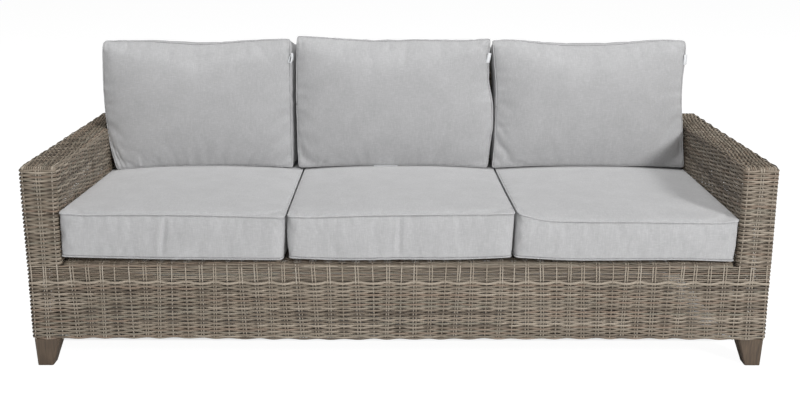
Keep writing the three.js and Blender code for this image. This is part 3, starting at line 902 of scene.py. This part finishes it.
# %% [markdown]
# ## Finish every woven piece
# Each woven piece rides on the frame. Five of them stand for the five solid walls, which are then not shown.

# %% Ride and replace
for piece in woven:
    piece.data.materials.append(strand_pe)
    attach(piece, "frame")
stands_for = {
    "left_arm_rows": "left_arm_weave",
    "right_arm_rows": "right_arm_weave",
    "lower_rows": "front_apron_weave",
    "rear_wall_rows": "rear_apron_weave",
    "back_rows_low": "back_weave",
}
for name, wall in stands_for.items():
    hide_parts(wall)
print(len(woven), "woven pieces stand for", len(stands_for), "walls")

# %% [markdown]
# ## Finish: heather-grey polyester
# The covers are a plain weave of grey and near-white yarns, spun-dyed polyester with a short soft pile. To
# the eye that is one flat light grey with fine flecks, a few thicker yarns called slubs, and no shine. The
# flecks are noise with 0.7 cells to a millimetre, slightly coarser than the yarns so that they show, and the
# slubs are noise drawn out some 17 mm one way and 1.6 mm the other. A slow cloud of 70 mm keeps large faces
# from looking printed. Each is turned to a factor near one, and the factors are multiplied.

# %% Cover material
cover, shader = new_material("cover_heather_polyester", Roughness=0.9)
shader.inputs["Sheen Weight"].default_value = 0.2
fleck_scale = 0.7 / MM
cloud_scale = 0.014 / MM
slub_across = 0.62 / MM
slub_stretches = ((0.055 / MM, slub_across, slub_across), (slub_across, 0.06 / MM, 0.06 / MM))
where = node(cover, "ShaderNodeTexCoord")
fleck = node(cover, "ShaderNodeTexNoise", Vector=(where, "Object"), Scale=fleck_scale, Detail=3.0)
cloud = node(cover, "ShaderNodeTexNoise", Vector=(where, "Object"), Scale=cloud_scale, Detail=3.0)
factors = [
    node(cover, "ShaderNodeMapRange", Value=(fleck, "Fac"), **rescaled(0.3, 0.7, 0.93, 1.05)),
    node(cover, "ShaderNodeMapRange", Value=(cloud, "Fac"), **rescaled(0.3, 0.7, 0.955, 1.035)),
]
for stretch in slub_stretches:
    laid = node(cover, "ShaderNodeMapping", Vector=(where, "Object"), Scale=stretch)
    slub = node(cover, "ShaderNodeTexNoise", Vector=(laid, "Vector"), Scale=1.0, Detail=1.0)
    factors.append(node(cover, "ShaderNodeMapRange", Value=(slub, "Fac"), **rescaled(0.4, 0.75, 0.97, 1.09)))
shade = factors[0]
for factor in factors[1:]:
    product = node(cover, "ShaderNodeMath", multiply, _1=(factor, "Result"))
    link(cover, shade, 0, product, 0)
    shade = product
toned = node(cover, "ShaderNodeVectorMath", {"operation": "SCALE"}, Scale=(shade, "Value"))
toned.inputs[0].default_value = linear("#b5b5b6")[:3]
link(cover, toned, "Vector", shader, "Base Color")
nap = node(cover, "ShaderNodeBump", Height=(fleck, "Fac"), Strength=0.15, Distance=0.3 * MM)
link(cover, nap, "Normal", shader, "Normal")
print("cover material nodes:", len(cover.node_tree.nodes))

# %% [markdown]
# ## Cushion block
# A boxed cushion is two panels and a border strip sewn between them. It starts as a cube cut into cells
# along each axis, closer together near the edges. The seams are then known lines of the grid: the outline of
# the cube's lower face and that of its upper one. Each point keeps its place in the cube as an attribute, so
# it can be found again after the cover has been filled and made finer.

# %% Cushion block
on_face = 0.999


def around_edge(block):
    """Which points lie on the outline of the block, seen from above."""
    return np.maximum(np.abs(block[:, 0]), np.abs(block[:, 1])) > on_face


def cushion_block(cells):
    """A closed block from -1 to 1 with this many cells across, along and through."""
    bm = bmesh.new()
    bmesh.ops.create_cube(bm, size=2)
    for axis, count in enumerate(cells):
        uncut = [edge for edge in bm.edges if abs(edge.verts[0].co[axis] - edge.verts[1].co[axis]) > 1.9]
        bmesh.ops.subdivide_edges(bm, edges=uncut, cuts=count - 1, use_grid_fill=True)
    mesh = bpy.data.meshes.new("cushion")
    bm.to_mesh(mesh)
    bm.free()
    block = read(mesh.vertices, "co", 3).astype(float)
    place = mesh.attributes.new("block", "FLOAT_VECTOR", "POINT")
    place.data.foreach_set("vector", block.astype(np.float32).ravel())
    return mesh, block


def graded(shares):
    """Steps that grow closer towards both ends."""
    return shares * (1.25 - 0.25 * shares**2)


def rounded_corners(u, v, half_u, half_v, corner):
    """The same points, with the four corners of their rectangle cut round."""
    inner_u, inner_v = half_u - corner, half_v - corner
    over_u, over_v = np.abs(u) * half_u - inner_u, np.abs(v) * half_v - inner_v
    both = (over_u > 0) & (over_v > 0)
    keep = np.where(both, np.maximum(over_u, over_v) / np.maximum(np.hypot(over_u, over_v), 1e-9), 1)
    round_u = np.sign(u) * (inner_u + over_u * keep) / half_u
    round_v = np.sign(v) * (inner_v + over_v * keep) / half_v
    return np.where(both, round_u, u), np.where(both, round_v, v)


print("a small block:", len(cushion_block((4, 4, 2))[1]), "points")

# %% [markdown]
# ## How a cushion hangs
# No cushion lies as it was cut. Each one is measured along the four edges of the face that is seen: how far
# the edge lies from the plain block's edge, in millimetres, at even steps along it. Between the steps the
# edge runs as a smooth line through those values, and inside the face the four edges are blended. A lattice
# could do this too, but it can't be given as plain measurements along a seam.

# %% Hanging edges


def through(values, share):
    """A smooth line through evenly spaced values, in millimetres."""
    values = np.array(values, float) * MM
    padded = np.concatenate([[2 * values[0] - values[1]], values, [2 * values[-1] - values[-2]]])
    place = np.clip(share, 0, 1) * (len(values) - 1)
    first = np.minimum(place.astype(int), len(values) - 2)
    step = place - first
    before, here, there, after = (padded[first + i] for i in range(4))
    bend = 2 * before - 5 * here + 4 * there - after + step * (3 * (here - there) + after - before)
    return here + 0.5 * step * (there - before + step * bend)


def hung(across, up, left, right, low, high):
    """How far a point of the face hangs aside and down."""
    aside = (1 - across) * through(left, up) + across * through(right, up)
    lift = (1 - up) * through(low, across) + up * through(high, across)
    return aside, lift


print("half way between 0 and 10 mm:", through([0, 10], np.array([0.5])) / MM)

# %% [markdown]
# ## Filling a cushion
# The cover is inflated as cloth, a little larger than its cut, with the seams and the resting sides held, so
# folds start where a real cover has them: along the seams. How far a point may go is capped along each axis,
# because a cushion beside another has no room to swell there.

# %% Fill a cushion
fill_frames = 20


def filled(piece, points, held, reach):
    """Sets the cushion's points and lets its filling swell the cover."""
    mesh = piece.data
    mesh.vertices.foreach_set("co", points.astype(np.float32).ravel())
    group = piece.vertex_groups.new(name="held")
    group.add([int(i) for i in np.flatnonzero(held)], 1, "REPLACE")
    cloth = piece.modifiers.new("filling", "CLOTH")
    cloth.settings.vertex_group_mass = "held"
    cloth.settings.use_pressure = True
    cloth.settings.uniform_pressure_force = 4
    cloth.settings.shrink_min = -0.02
    cloth.settings.effector_weights.gravity = 0
    cloth.point_cache.frame_start = 1
    cloth.point_cache.frame_end = fill_frames
    for frame_number in range(1, fill_frames + 1):
        bpy.context.scene.frame_set(frame_number)
    graph = bpy.context.evaluated_depsgraph_get()
    move = read(piece.evaluated_get(graph).data.vertices, "co", 3) - points
    piece.modifiers.remove(cloth)
    bpy.context.scene.frame_set(1)
    furthest = np.abs(move).max(axis=0) / MM
    move = reach * np.tanh(move / reach)
    mesh.vertices.foreach_set("co", (points + move).astype(np.float32).ravel())
    mesh.update()
    print(f"{piece.name}: filled, moved up to {furthest.round()} mm before the cap")


def made_finer(piece):
    """One subdivision, kept. Returns the new points and their places in the block."""
    finer = piece.modifiers.new("finer", "SUBSURF")
    finer.levels = finer.render_levels = 1
    graph = bpy.context.evaluated_depsgraph_get()
    mesh = bpy.data.meshes.new_from_object(piece.evaluated_get(graph))
    piece.modifiers.remove(finer)
    piece.data = mesh
    block = read(mesh.attributes["block"].data, "vector", 3).astype(float)
    return read(mesh.vertices, "co", 3).astype(float), block


# %% [markdown]
# ## Creases
# A crease is a narrow valley with a soft rim on one side, where the cover is a little too large for its
# filling. Each one is given by its place across the face, where it starts and ends up the face, how far it
# leans, its half width and its depth in millimetres. Fine puckers run off the seams at uneven steps, where
# the panel was eased a little as it was sewn to the piping.

# %% Creases and puckers
rim_share = 0.25
rim_place = 1.9
pucker_reach = 22 * MM
pucker_depth = 0.9 * MM
seam_flat = 5 * MM
pucker_pitches = np.array([21, 34, 55, 90]) * MM


def creased(across, up, face_width, creases):
    """How far each point of the face is drawn in."""
    depth_here = np.zeros(len(across))
    for place, start, end, leaning, half_width, depth in creases:
        off = (across - place - leaning * (up - start)) * face_width / (half_width * MM)
        along_it = np.clip((up - start) / (end - start), 0, 1)
        strength = np.sin(math.pi * np.clip(along_it, 0.02, 0.98)) ** 0.5 * ((up >= start) & (up <= end))
        valley = np.exp(-(off**2)) - rim_share * np.exp(-((off + rim_place) ** 2))
        depth_here += depth * MM * strength * valley
    return depth_here


def puckered(along_seam, from_seam, seed):
    """Small folds that run off a seam and fade."""
    folds = np.random.default_rng(seed)
    total = np.zeros(len(along_seam))
    for pitch in pucker_pitches:
        phase, drift_of = folds.uniform(0, 2 * math.pi, 2)
        total += np.sin(along_seam * 2 * math.pi / pitch + phase + 1.5 * np.sin(along_seam * 9 + drift_of))
    fading = np.exp(-from_seam / pucker_reach) - np.exp(-from_seam / seam_flat)
    return pucker_depth * total / 2 * fading


one_crease = [(0.5, 0.0, 1.0, 0.0, 5, 6)]
depth = creased(np.array([0.5]), np.array([0.5]), 0.6, one_crease)[0]
print(f"a crease 6 mm deep draws the cover in by {depth / MM:.1f} mm at its middle")

# %% [markdown]
# ## Dress a cushion
# Piping is a cord in a strip of the same cloth, sewn in along both seams. The cover is drawn in under it by a
# groove, so only half of the cord stands out. The piping is laid with the same function as the strands,
# round in section and with the cover's own finish.

# %% Dress a cushion
piping_size = 5 * MM
seam_groove = 5 * MM


def seam_loop(block, points, level):
    """The seam's points at one level of the block, in order round it."""
    index = np.flatnonzero(around_edge(block) & (np.abs(block[:, 2] - level) < 1 - on_face))
    turn = np.arctan2(block[index, 1], block[index, 0])
    index = index[np.argsort(turn)]
    return points[np.append(index, index[:2])]


def dress_cushion(name, body, cells, place, held_of, reach, details):
    """A filled cushion with its piping, riding on its own body."""
    mesh, block = cushion_block(cells)
    piece = bpy.data.objects.new(name, mesh)
    bpy.context.scene.collection.objects.link(piece)
    on_seam = around_edge(block) & (np.abs(block[:, 2]) > on_face)
    filled(piece, place(block), on_seam | held_of(block), np.array(reach) * MM)
    points, block = made_finer(piece)
    points = details(points, block)
    outward = unit((points - points.mean(axis=0)) / (points.max(axis=0) - points.min(axis=0)))
    loops = np.stack([seam_loop(block, points, level) for level in (-1, 1)])
    ways = np.stack([seam_loop(block, outward, level) for level in (-1, 1)])
    on_seam = around_edge(block) & (np.abs(block[:, 2]) > on_face)
    points = points - outward * np.where(on_seam, seam_groove, 0)[:, None]
    piece.data.vertices.foreach_set("co", points.astype(np.float32).ravel())
    piece.data.update()
    piece.data.shade_smooth()
    trim = lay(f"{name}_piping", loops, ways, piping_size, piping_size, 0.5, sides=10, drift=False)
    for part in (piece, trim):
        part.data.materials.append(cover)
        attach(part, body)
    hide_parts(name)
    return piece


print(f"piping {piping_size / MM:.0f} mm across, in a groove {seam_groove / MM:.0f} mm deep")

# %% [markdown]
# ## Seat cushions
# The three seats are cut alike, with sharp corners, and their front edges hang a little over the rail. No two
# hang alike: the right one's top edge droops in the middle, and each of the others has a crease down the
# middle of its border, where it was folded. A hang is read from the photographed edges and written in
# millimetres, from left to right or from the bottom up.

# %% Hang and creases of the seats
seam_inset = 2 * MM
seat_border = 136 * MM
seat_corner = 13 * MM
overhang = 18 * MM
seat_hang = {
    "left": dict(
        left=[-2, -1, -1],
        right=[-8, -3, 0],
        low=[19, 15, 12, 11, 10],
        high=[14, 10, 10.5, 10.5, 10, 9, 7, 5, 2],
    ),
    "middle": dict(
        left=[2, -2, 0],
        right=[2, 5, 9],
        low=[15, 10, 12, 12, 18],
        high=[5, 4, 7, 9, 10, 11, 12, 13, 14],
    ),
    "right": dict(
        left=[2, 5, 9],
        right=[-5, -1, 1],
        low=[18, 10, 10, 11, 6],
        high=[14, -5, -9, -10, -10, -11, -12, -13, -8],
    ),
}
seat_creases = {
    "left": [(0.462, 0.05, 1.0, 0.02, 5, 6), (0.3, 0.0, 0.4, 0.1, 6, 1.5), (0.75, 0.4, 1.0, 0.05, 6, 1.2)],
    "middle": [(0.497, 0.0, 1.0, 0.0, 5, 5.5), (0.2, 0.5, 1.0, -0.1, 6, 1.2)],
    "right": [(0.93, 0.35, 0.95, 0.05, 8, 2), (0.1, 0.5, 1.0, 0.1, 7, 2), (0.45, 0.0, 0.5, 0.1, 7, 1.2)],
}
print("creases in the seats' borders:", {side: len(creases) for side, creases in seat_creases.items()})

# %% [markdown]
# ## Laying the seats
# The block's place in the frame gives the size. The panel on top is crowned, highest in its middle, and the
# hang fades towards the rear, where the cushion lies flat on the deck. At its rear the top is pressed down
# again, because a back cushion stands on it. The underside and the seams are held while the cover swells.

# %% Lay the seat cushions
seat_cells = (76, 56, 12)
seat_reach = (1.5, 8, 5)
seat_crown_power = 2.4
hang_power = 1.6
pressed_from = 100 * MM
pressed_over = 50 * MM


def lay_seat(side):
    """One seat cushion, from its block in the frame."""
    low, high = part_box(f"seat_cushion_{side}")
    half_u, half_v = (high.x - low.x) / 2 - seam_inset, (high.y - low.y) / 2 - seam_inset
    middle_x, middle_y = (low.x + high.x) / 2, (low.y + high.y) / 2
    crown = high.z - low.z - seat_border

    def place(block):
        """Where the block's points go before the cover is filled."""
        u, v = rounded_corners(graded(block[:, 0]), graded(block[:, 1]), half_u, half_v, seat_corner)
        up = (block[:, 2] + 1) / 2
        aside, lift = hung((u + 1) / 2, up, **seat_hang[side])
        nearness = ((1 - v) / 2) ** hang_power
        x = middle_x + u * half_u + aside * nearness
        y = middle_y + v * half_v - overhang * nearness
        crowned = (1 - np.abs(u) ** seat_crown_power) * (1 - np.abs(v) ** seat_crown_power)
        rise = np.where(up > on_face, crown * crowned, 0)
        z = low.z + MM + up * (seat_border - MM) + lift * nearness + rise
        return np.stack([x, y, z], -1)

    def held_of(block):
        """Which points the filling can't move."""
        return block[:, 2] < -0.99

    def details(points, block):
        """The filled cushion's points with their creases and puckers."""
        across, up = (block[:, 0] + 1) / 2, (block[:, 2] + 1) / 2
        on_front = block[:, 1] < -0.97
        on_top = block[:, 2] > on_face
        points = points.copy()
        drawn = creased(across, up, 2 * half_u, seat_creases[side])
        folds = puckered(points[:, 0], (1 - up) * seat_border, seed=len(side))
        points[:, 1] += np.where(on_front, drawn + folds, 0)
        from_front = (1 + block[:, 1]) * half_v
        points[:, 2] += np.where(on_top, puckered(points[:, 0], from_front, seed=3 + len(side)), 0)
        pressed_down = np.clip((points[:, 1] - pressed_from) / pressed_over, 0, 1)
        rest_height = np.minimum(place(block)[:, 2], high.z - 3 * MM)
        spare = np.maximum(points[:, 2] - rest_height, 0)
        points[:, 2] -= spare * pressed_down * on_top
        return points

    name, body = f"seat_cushion_{side}", f"{side}_seat"
    dress_cushion(name, body, seat_cells, place, held_of, seat_reach, details)


for side in seat_hang:
    lay_seat(side)

# %% [markdown]
# ## Back cushions
# A back cushion stands on the seat and leans on the backrest. Its panel's corners stand up a little and its
# top sags between them, because the border is stiffer at the corners. The left one has been pulled forward
# at its outer side, and its panel is pleated there at the foot.

# %% Hang and creases of the back cushions
back_border = 186 * MM
back_crown = 26 * MM
top_roll = 20 * MM
back_corner = dict(left=(5, 14), middle=(9, 8), right=(6, 11))
back_forward = dict(left=35 * MM, middle=0, right=0)
back_hang = {
    "left": dict(
        left=[16, 2, -8, -14, -18, -20, -20, -19, -17],
        right=[-30, -33, -34, -34, -34],
        low=[-7, 0, 0, -1, -7],
        high=[11, 9, 9, 4, -1, 2, 8, 12, 14],
    ),
    "middle": dict(
        left=[-25, -27, -28, -30, -29, -27, -25],
        right=[-17, -10, -1, -4, -17, -17, -10],
        low=[-8, -1, 0, -1, -8],
        high=[24, 20, 14.5, 10, 10.5, 12, 11, 10.5, 16],
    ),
    "right": dict(
        left=[-16, -9, -6, -5, -6, -13, -20],
        right=[4, -2, -7, -12, -12, -6, -4],
        low=[-8, -1, 0, -1, -6],
        high=[10, 11, 3.5, -3, -4, -1, 5.5, 11.5, 10],
    ),
}
back_creases = {
    "left": [
        (0.19, 0.88, 1.0, -0.3, 6, 3),
        (0.19, 0.0, 0.13, 0.1, 5, 3),
        (0.27, 0.0, 0.1, -0.2, 4, 2),
        (0.05, 0.0, 0.3, -0.12, 6, 4),
        (0.085, 0.0, 0.22, -0.15, 6, 3.5),
        (0.44, 0.0, 0.14, 0.1, 6, 2),
    ],
    "middle": [
        (0.475, 0.86, 1.0, 0.12, 7, 4.5),
        (0.5, 0.0, 0.14, 0.05, 6, 3),
        (0.945, 0.9, 1.0, 0.5, 6, 4),
        (0.16, 0.0, 0.12, 0.3, 7, 3),
    ],
    "right": [
        (0.36, 0.84, 1.0, -0.25, 7, 3),
        (0.5, 0.0, 0.1, 0.1, 6, 2),
        (0.2, 0.0, 0.08, 0.2, 6, 2),
        (0.8, 0.0, 0.1, -0.1, 6, 2),
    ],
}
side_creases = {
    "left": [(0.72, 0.0, 0.05, 0.0, 4, 1.5), (0.5, 0.0, 0.07, 0.05, 5, 1.5)],
    "middle": [
        (0.52, 0.0, 0.09, 0.0, 4, 1.5),
        (0.38, 0.0, 0.07, 0.0, 4, 1.2),
        (0.53, 0.91, 1.0, 0.0, 4, 1.5),
        (0.2, 0.93, 1.0, 0, 4, 1.5),
    ],
    "right": [(0.6, 0.0, 0.1, 0.0, 5, 1.5), (0.35, 0.0, 0.12, 0.1, 5, 2), (0.45, 0.93, 1.0, 0.0, 4, 1.2)],
}
print("creases from the top and foot seams:", {side: len(creases) for side, creases in back_creases.items()})

# %% [markdown]
# ## Standing the back cushions
# The block lies down here: its upper face is the panel that is seen. At its top the panel rolls back round a
# curve of 20 mm, as a filled edge does. The rear panel and the foot are held while the cover swells, because
# one leans on the backrest and the other stands on the seat.

# %% Stand the back cushions
back_cells = (60, 40, 14)
back_reach_of_fill = (7, 12, 8)
back_crown_power = 2.6
forward_power = 1.5
rear_share = 0.45
top_crease_share = 0.6


def stand_back(side):
    """One back cushion, from its block in the frame."""
    low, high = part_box(f"back_cushion_{side}")
    half_u = (high.x - low.x) / 2 - seam_inset
    height = high.z - low.z - 2 * seam_inset
    middle_x, foot = (low.x + high.x) / 2, low.z + 0.5 * MM
    rear_foot = back_low.y + (low.z - back_low.z) * rake - 2 * MM

    def place(block):
        """Where the block's points go before the cover is filled."""
        u, v = graded(block[:, 0]), graded(block[:, 1])
        corner = np.where(v < 0, *back_corner[side]) * MM
        u, v = rounded_corners(u, v, half_u, height / 2, corner)
        across, up = (u + 1) / 2, (v + 1) / 2
        near = (block[:, 2] + 1) / 2
        aside, lift = hung(across, up, **back_hang[side])
        x = middle_x + u * half_u + aside * (rear_share + (1 - rear_share) * near)
        roll = np.clip((up - 1) * height / (top_roll * math.pi / 2) + 1, 0, 1) * math.pi / 2
        arc = top_roll * (np.sin(roll) - roll)
        whole = height + top_roll * (1 - math.pi / 2)
        z = foot + (up * height + near * arc) * height / (height + near * (whole - height)) + lift * near
        crowned = (1 - np.abs(u) ** back_crown_power) * (1 - np.abs(v) ** back_crown_power)
        rise = np.where(near > on_face, back_crown * crowned, 0)
        forward = near * (back_border + back_forward[side] * (1 - across) ** forward_power) + rise
        y = rear_foot - forward + (z - low.z) * rake + near * top_roll * (1 - np.cos(roll))
        z = z - (1 - near) * back_border * rake * up
        return np.stack([x, y, z], -1)

    def held_of(block):
        """Which points the filling can't move."""
        return (block[:, 2] < -0.99) | (block[:, 1] < -0.99)

    def details(points, block):
        """The filled cushion's points with their creases and puckers."""
        across, up = (block[:, 0] + 1) / 2, (block[:, 1] + 1) / 2
        on_front = block[:, 2] > 0.99
        points = points.copy()
        drawn = creased(across, up, 2 * half_u, back_creases[side])
        drawn += creased(up, across, height, side_creases[side])
        edge_off = np.minimum(across, 1 - across) * 2 * half_u
        top_off = np.minimum(up, 1 - up) * height
        folds = puckered(points[:, 2], edge_off, seed=5 + len(side))
        folds += puckered(points[:, 0], top_off, seed=8 + len(side))
        points[:, 1] += np.where(on_front, drawn + folds, 0)
        on_top = (block[:, 1] > 0.99) & ~on_front
        over_top_seam = creased(across, np.ones(len(across)), 2 * half_u, back_creases[side])
        points[:, 2] -= np.where(on_top, over_top_seam * top_crease_share, 0)
        return points

    name, body = f"back_cushion_{side}", f"{side}_back"
    return dress_cushion(name, body, back_cells, place, held_of, back_reach_of_fill, details)


backs = {side: stand_back(side) for side in back_hang}

# %% [markdown]
# ## Finish: the feet
# The feet are moulded in a brown plastic with a grain like wood, drawn along their height: lines some 4 mm
# apart and 60 mm long. Moulding leaves it half dull, without pores or a coat.

# %% Foot material
foot_grain_scale = (0.24 / MM, 0.24 / MM, 0.016 / MM)
foot_brown, shader = new_material("foot_brown_moulded", Roughness=0.55)
where = node(foot_brown, "ShaderNodeTexCoord")
drawn = node(foot_brown, "ShaderNodeMapping", Vector=(where, "Object"), Scale=foot_grain_scale)
grain = node(foot_brown, "ShaderNodeTexNoise", Vector=(drawn, "Vector"), Scale=1.0, Detail=3.0)
ramp = node(foot_brown, "ShaderNodeValToRGB", Fac=(grain, "Fac"))
colours(ramp, [(0.3, "#4b3f34"), (0.7, "#675747")])
link(foot_brown, ramp, "Color", shader, "Base Color")
print("foot material nodes:", len(foot_brown.node_tree.nodes))

# %% [markdown]
# ## Plain finishes
# Four parts have one colour all over, so it is set on the shader itself. The aluminium tube is powder-coated
# dark brown, which hides the metal and leaves a half-dull skin. The plates and studs are zinc-plated steel, a
# bluish grey metal with a soft shine. The ribbon is satin, white with a slight gloss. The deck's straps are
# woven polypropylene, dull and dark.

# %% Plain finishes
tube_coat, _ = new_material("tube_powder_coat", Roughness=0.5, Base_Color=linear("#4a423b"))
steel_zinc, _ = new_material("steel_zinc_plated", Roughness=0.35, Metallic=1.0, Base_Color=linear("#b9bcc0"))
ribbon, _ = new_material("ribbon_satin_white", Roughness=0.4, Base_Color=linear("#eef0f2"))
strap_brown, _ = new_material("strap_woven_brown", Roughness=0.7, Base_Color=linear("#4c443d"))

for name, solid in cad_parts.items():
    if name.endswith("_foot"):
        finish = foot_brown
    elif name.endswith(("_plate", "_stud")):
        finish = steel_zinc
    elif name.startswith(("label_", "care_tag")):
        finish = ribbon
    elif name == "seat_deck":
        finish = strap_brown
    else:
        finish = tube_coat
    solid.data.materials.clear()
    solid.data.materials.append(finish)
print(len(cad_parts), "solids have a finish")

# %% [markdown]
# ## A doubled ribbon
# A strip of satin 13 mm wide and 68 mm long is doubled on itself and caught in a seam by both ends. It is
# made from a flat grid whose length is bent round into a long loop that opens a little on its way down.

# %% Ribbon loop
label_width = 13 * MM
label_length = 34 * MM
label_thickness = 0.5 * MM


def ribbon_loop(side, place, lean, turn, open_by):
    """A doubled ribbon that hangs from a seam, leaning aside and turned about its own length."""
    bm = bmesh.new()
    bmesh.ops.create_grid(bm, x_segments=1, y_segments=24, size=0.5)
    for vert in bm.verts:
        along_it = (vert.co.y + 0.5) * 2 * math.pi
        belly = open_by * math.sin(along_it / 2) * math.sin(along_it)
        vert.co = (vert.co.x * label_width, belly, (math.cos(along_it) - 1) / 2 * label_length)
    turned = Matrix.Translation(place) @ Matrix.Rotation(lean, 4, "Y") @ Matrix.Rotation(turn, 4, "Z")
    bmesh.ops.transform(bm, matrix=turned, verts=bm.verts)
    mesh = bpy.data.meshes.new(f"ribbon_{side}")
    bm.to_mesh(mesh)
    bm.free()
    mesh.shade_smooth()
    label = bpy.data.objects.new(f"ribbon_{side}", mesh)
    bpy.context.scene.collection.objects.link(label)
    thick = label.modifiers.new("thickness", "SOLIDIFY")
    thick.thickness = label_thickness
    label.data.materials.append(ribbon)
    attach(label, f"{side}_back")
    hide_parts(f"label_{side}")


print(f"a ribbon of {label_width / MM:.0f} by {2 * label_length / MM:.0f} mm")

# %% [markdown]
# ## Labels on the seams
# One ribbon hangs from the side seam of every back cushion, near its upper right corner. Its place is looked
# up on the finished cushion by the height of the seam's points, and set off a little, clear of the piping.
# Each ribbon leans and has turned its own way.

# %% Labels
label_forward = 11 * MM


def on_right_seam(cushion, height, out):
    """The place on a cushion's front seam at this height, on its right side, clear of the piping."""
    block = read(cushion.data.attributes["block"].data, "vector", 3)
    points = read(cushion.data.vertices, "co", 3)
    seam = points[(block[:, 0] > on_face) & (block[:, 2] > on_face)]
    nearest = np.abs(seam[:, 2] - height).argmin()
    return Vector(seam[nearest]) + Vector((out, -label_forward, 0))


left_place = on_right_seam(backs["left"], 847 * MM, 12 * MM)
middle_place = on_right_seam(backs["middle"], 847 * MM, 6 * MM)
right_place = on_right_seam(backs["right"], 842 * MM, 4 * MM)
ribbon_loop("left", left_place, math.radians(14), math.radians(60), 7 * MM)
ribbon_loop("middle", middle_place, math.radians(12), math.radians(20), 3 * MM)
ribbon_loop("right", right_place, math.radians(4), math.radians(30), 3 * MM)

# %% [markdown]
# ## Camera
# The camera stands where the photographer stood: about 3 m in front of the sofa at eye height for a seated
# person, looking down a little. Its place and angles were fitted to the corners of the sofa in the picture,
# and its focal length is given in pixels of an 800 pixel wide frame.

# %% Camera
photo_width = 800
focal_pixels = 1087.3
camera_pitch = math.radians(14.235)
camera_yaw = math.radians(0.208)
camera_roll = math.radians(0.099)
camera = bpy.data.objects.new("camera", bpy.data.cameras.new("camera"))
bpy.context.scene.collection.objects.link(camera)
camera.data.sensor_width = 36
camera.data.lens = focal_pixels / photo_width * camera.data.sensor_width
camera.location = (-0.0099, -3.4512, 1.2645)
turned = Matrix.Rotation(-camera_yaw, 4, "Z") @ Matrix.Rotation(math.pi / 2 - camera_pitch, 4, "X")
camera.rotation_euler = (turned @ Matrix.Rotation(camera_roll, 4, "Z")).to_euler()
bpy.context.scene.camera = camera
print(f"lens {camera.data.lens:.1f} mm")

# %% [markdown]
# ## Studio
# The background is white to the camera only; what lights the sofa is a faint even sky and three large round
# lamps. The key lamp stands low and to the right, where the shadow on the right cushions says it was. One
# overhead lights the seats, and a weak one in front opens the shadows of the weave.

# %% Studio world and lights
scene = bpy.context.scene
scene.view_settings.view_transform = "Standard"
world = bpy.data.worlds.new("studio")
scene.world = world
world.use_nodes = True
sky = world.node_tree.nodes["Background"]
sky.inputs["Color"].default_value = linear("#ffffff")
sky.inputs["Strength"].default_value = 0.07
seen = node(world, "ShaderNodeBackground", Color=linear("#ffffff"), Strength=1.0)
rays = node(world, "ShaderNodeLightPath")
mixed = node(
    world, "ShaderNodeMixShader", _0=(rays, "Is Camera Ray"), _1=(sky, "Background"), _2=(seen, "Background")
)
link(world, mixed, "Shader", world.node_tree.nodes["World Output"], "Surface")


def softbox(name, place, target, size, power):
    """A round lamp that points at its target."""
    lamp = bpy.data.objects.new(name, bpy.data.lights.new(name, "AREA"))
    scene.collection.objects.link(lamp)
    lamp.data.shape = "DISK"
    lamp.data.size = size
    lamp.data.energy = power
    lamp.location = place
    lamp.rotation_euler = (Vector(target) - Vector(place)).to_track_quat("-Z", "Y").to_euler()
    print(f"{name}: {power} W, {size} m across")


softbox("key", (5.6, -7.3, 4.5), (0, 0, 0.5), 2.0, 550)
softbox("overhead", (0, -0.1, 9), (0, 0, 0), 4.0, 470)
softbox("front fill", (0, -5.8, 1.6), (0, 0, 0.4), 2.5, 52)

# %% [markdown]
# ## Floor
# The floor is matt white. To the camera it also glows a little, so it runs into the white background, and
# the sofa's shadow still shows on it. Under the sofa it doesn't glow, or it would shine through the small
# gaps of the weave. That patch is a product of three ranges with soft edges: it runs from behind the front
# feet to a little past the rear wall in Y, and from the outer side of one arm to that of the other in X.

# %% Floor
floor_half = 30
bm = bmesh.new()
bmesh.ops.create_grid(bm, x_segments=1, y_segments=1, size=floor_half)
floor_mesh = bpy.data.meshes.new("floor")
bm.to_mesh(floor_mesh)
bm.free()
floor = bpy.data.objects.new("floor", floor_mesh)
scene.collection.objects.link(floor)
floor_paint, shader = new_material("floor_white", Roughness=0.9)
shader.inputs["Base Color"].default_value = linear("#f4f4f4")
where = node(floor_paint, "ShaderNodeTexCoord")
spot = node(floor_paint, "ShaderNodeSeparateXYZ", Vector=(where, "Object"))
aside = node(floor_paint, "ShaderNodeMath", {"operation": "ABSOLUTE"}, _0=(spot, "X"))
behind = node(floor_paint, "ShaderNodeMapRange", Value=(spot, "Y"), **rescaled(-0.26, -0.18, 0, 1))
before = node(floor_paint, "ShaderNodeMapRange", Value=(spot, "Y"), **rescaled(0.62, 0.56, 0, 1))
within = node(floor_paint, "ShaderNodeMapRange", Value=(aside, "Value"), **rescaled(1.15, 1.08, 0, 1))
deep = node(floor_paint, "ShaderNodeMath", multiply, _0=(behind, "Result"), _1=(before, "Result"))
under = node(floor_paint, "ShaderNodeMath", multiply, _0=(deep, "Value"), _1=(within, "Result"))
lit = node(floor_paint, "ShaderNodeMath", {"operation": "SUBTRACT"}, _0=0.8, _1=(under, "Value"))
lit.use_clamp = True
rays = node(floor_paint, "ShaderNodeLightPath")
share = node(floor_paint, "ShaderNodeMath", multiply, _0=(rays, "Is Camera Ray"), _1=(lit, "Value"))
bright = node(floor_paint, "ShaderNodeEmission", Strength=1.2)
blended = node(
    floor_paint, "ShaderNodeMixShader", _0=(share, "Value"), _1=(shader, "BSDF"), _2=(bright, "Emission")
)
link(floor_paint, blended, "Shader", floor_paint.node_tree.nodes["Material Output"], "Surface")
floor.data.materials.append(floor_paint)
print("floor material nodes:", len(floor_paint.node_tree.nodes))
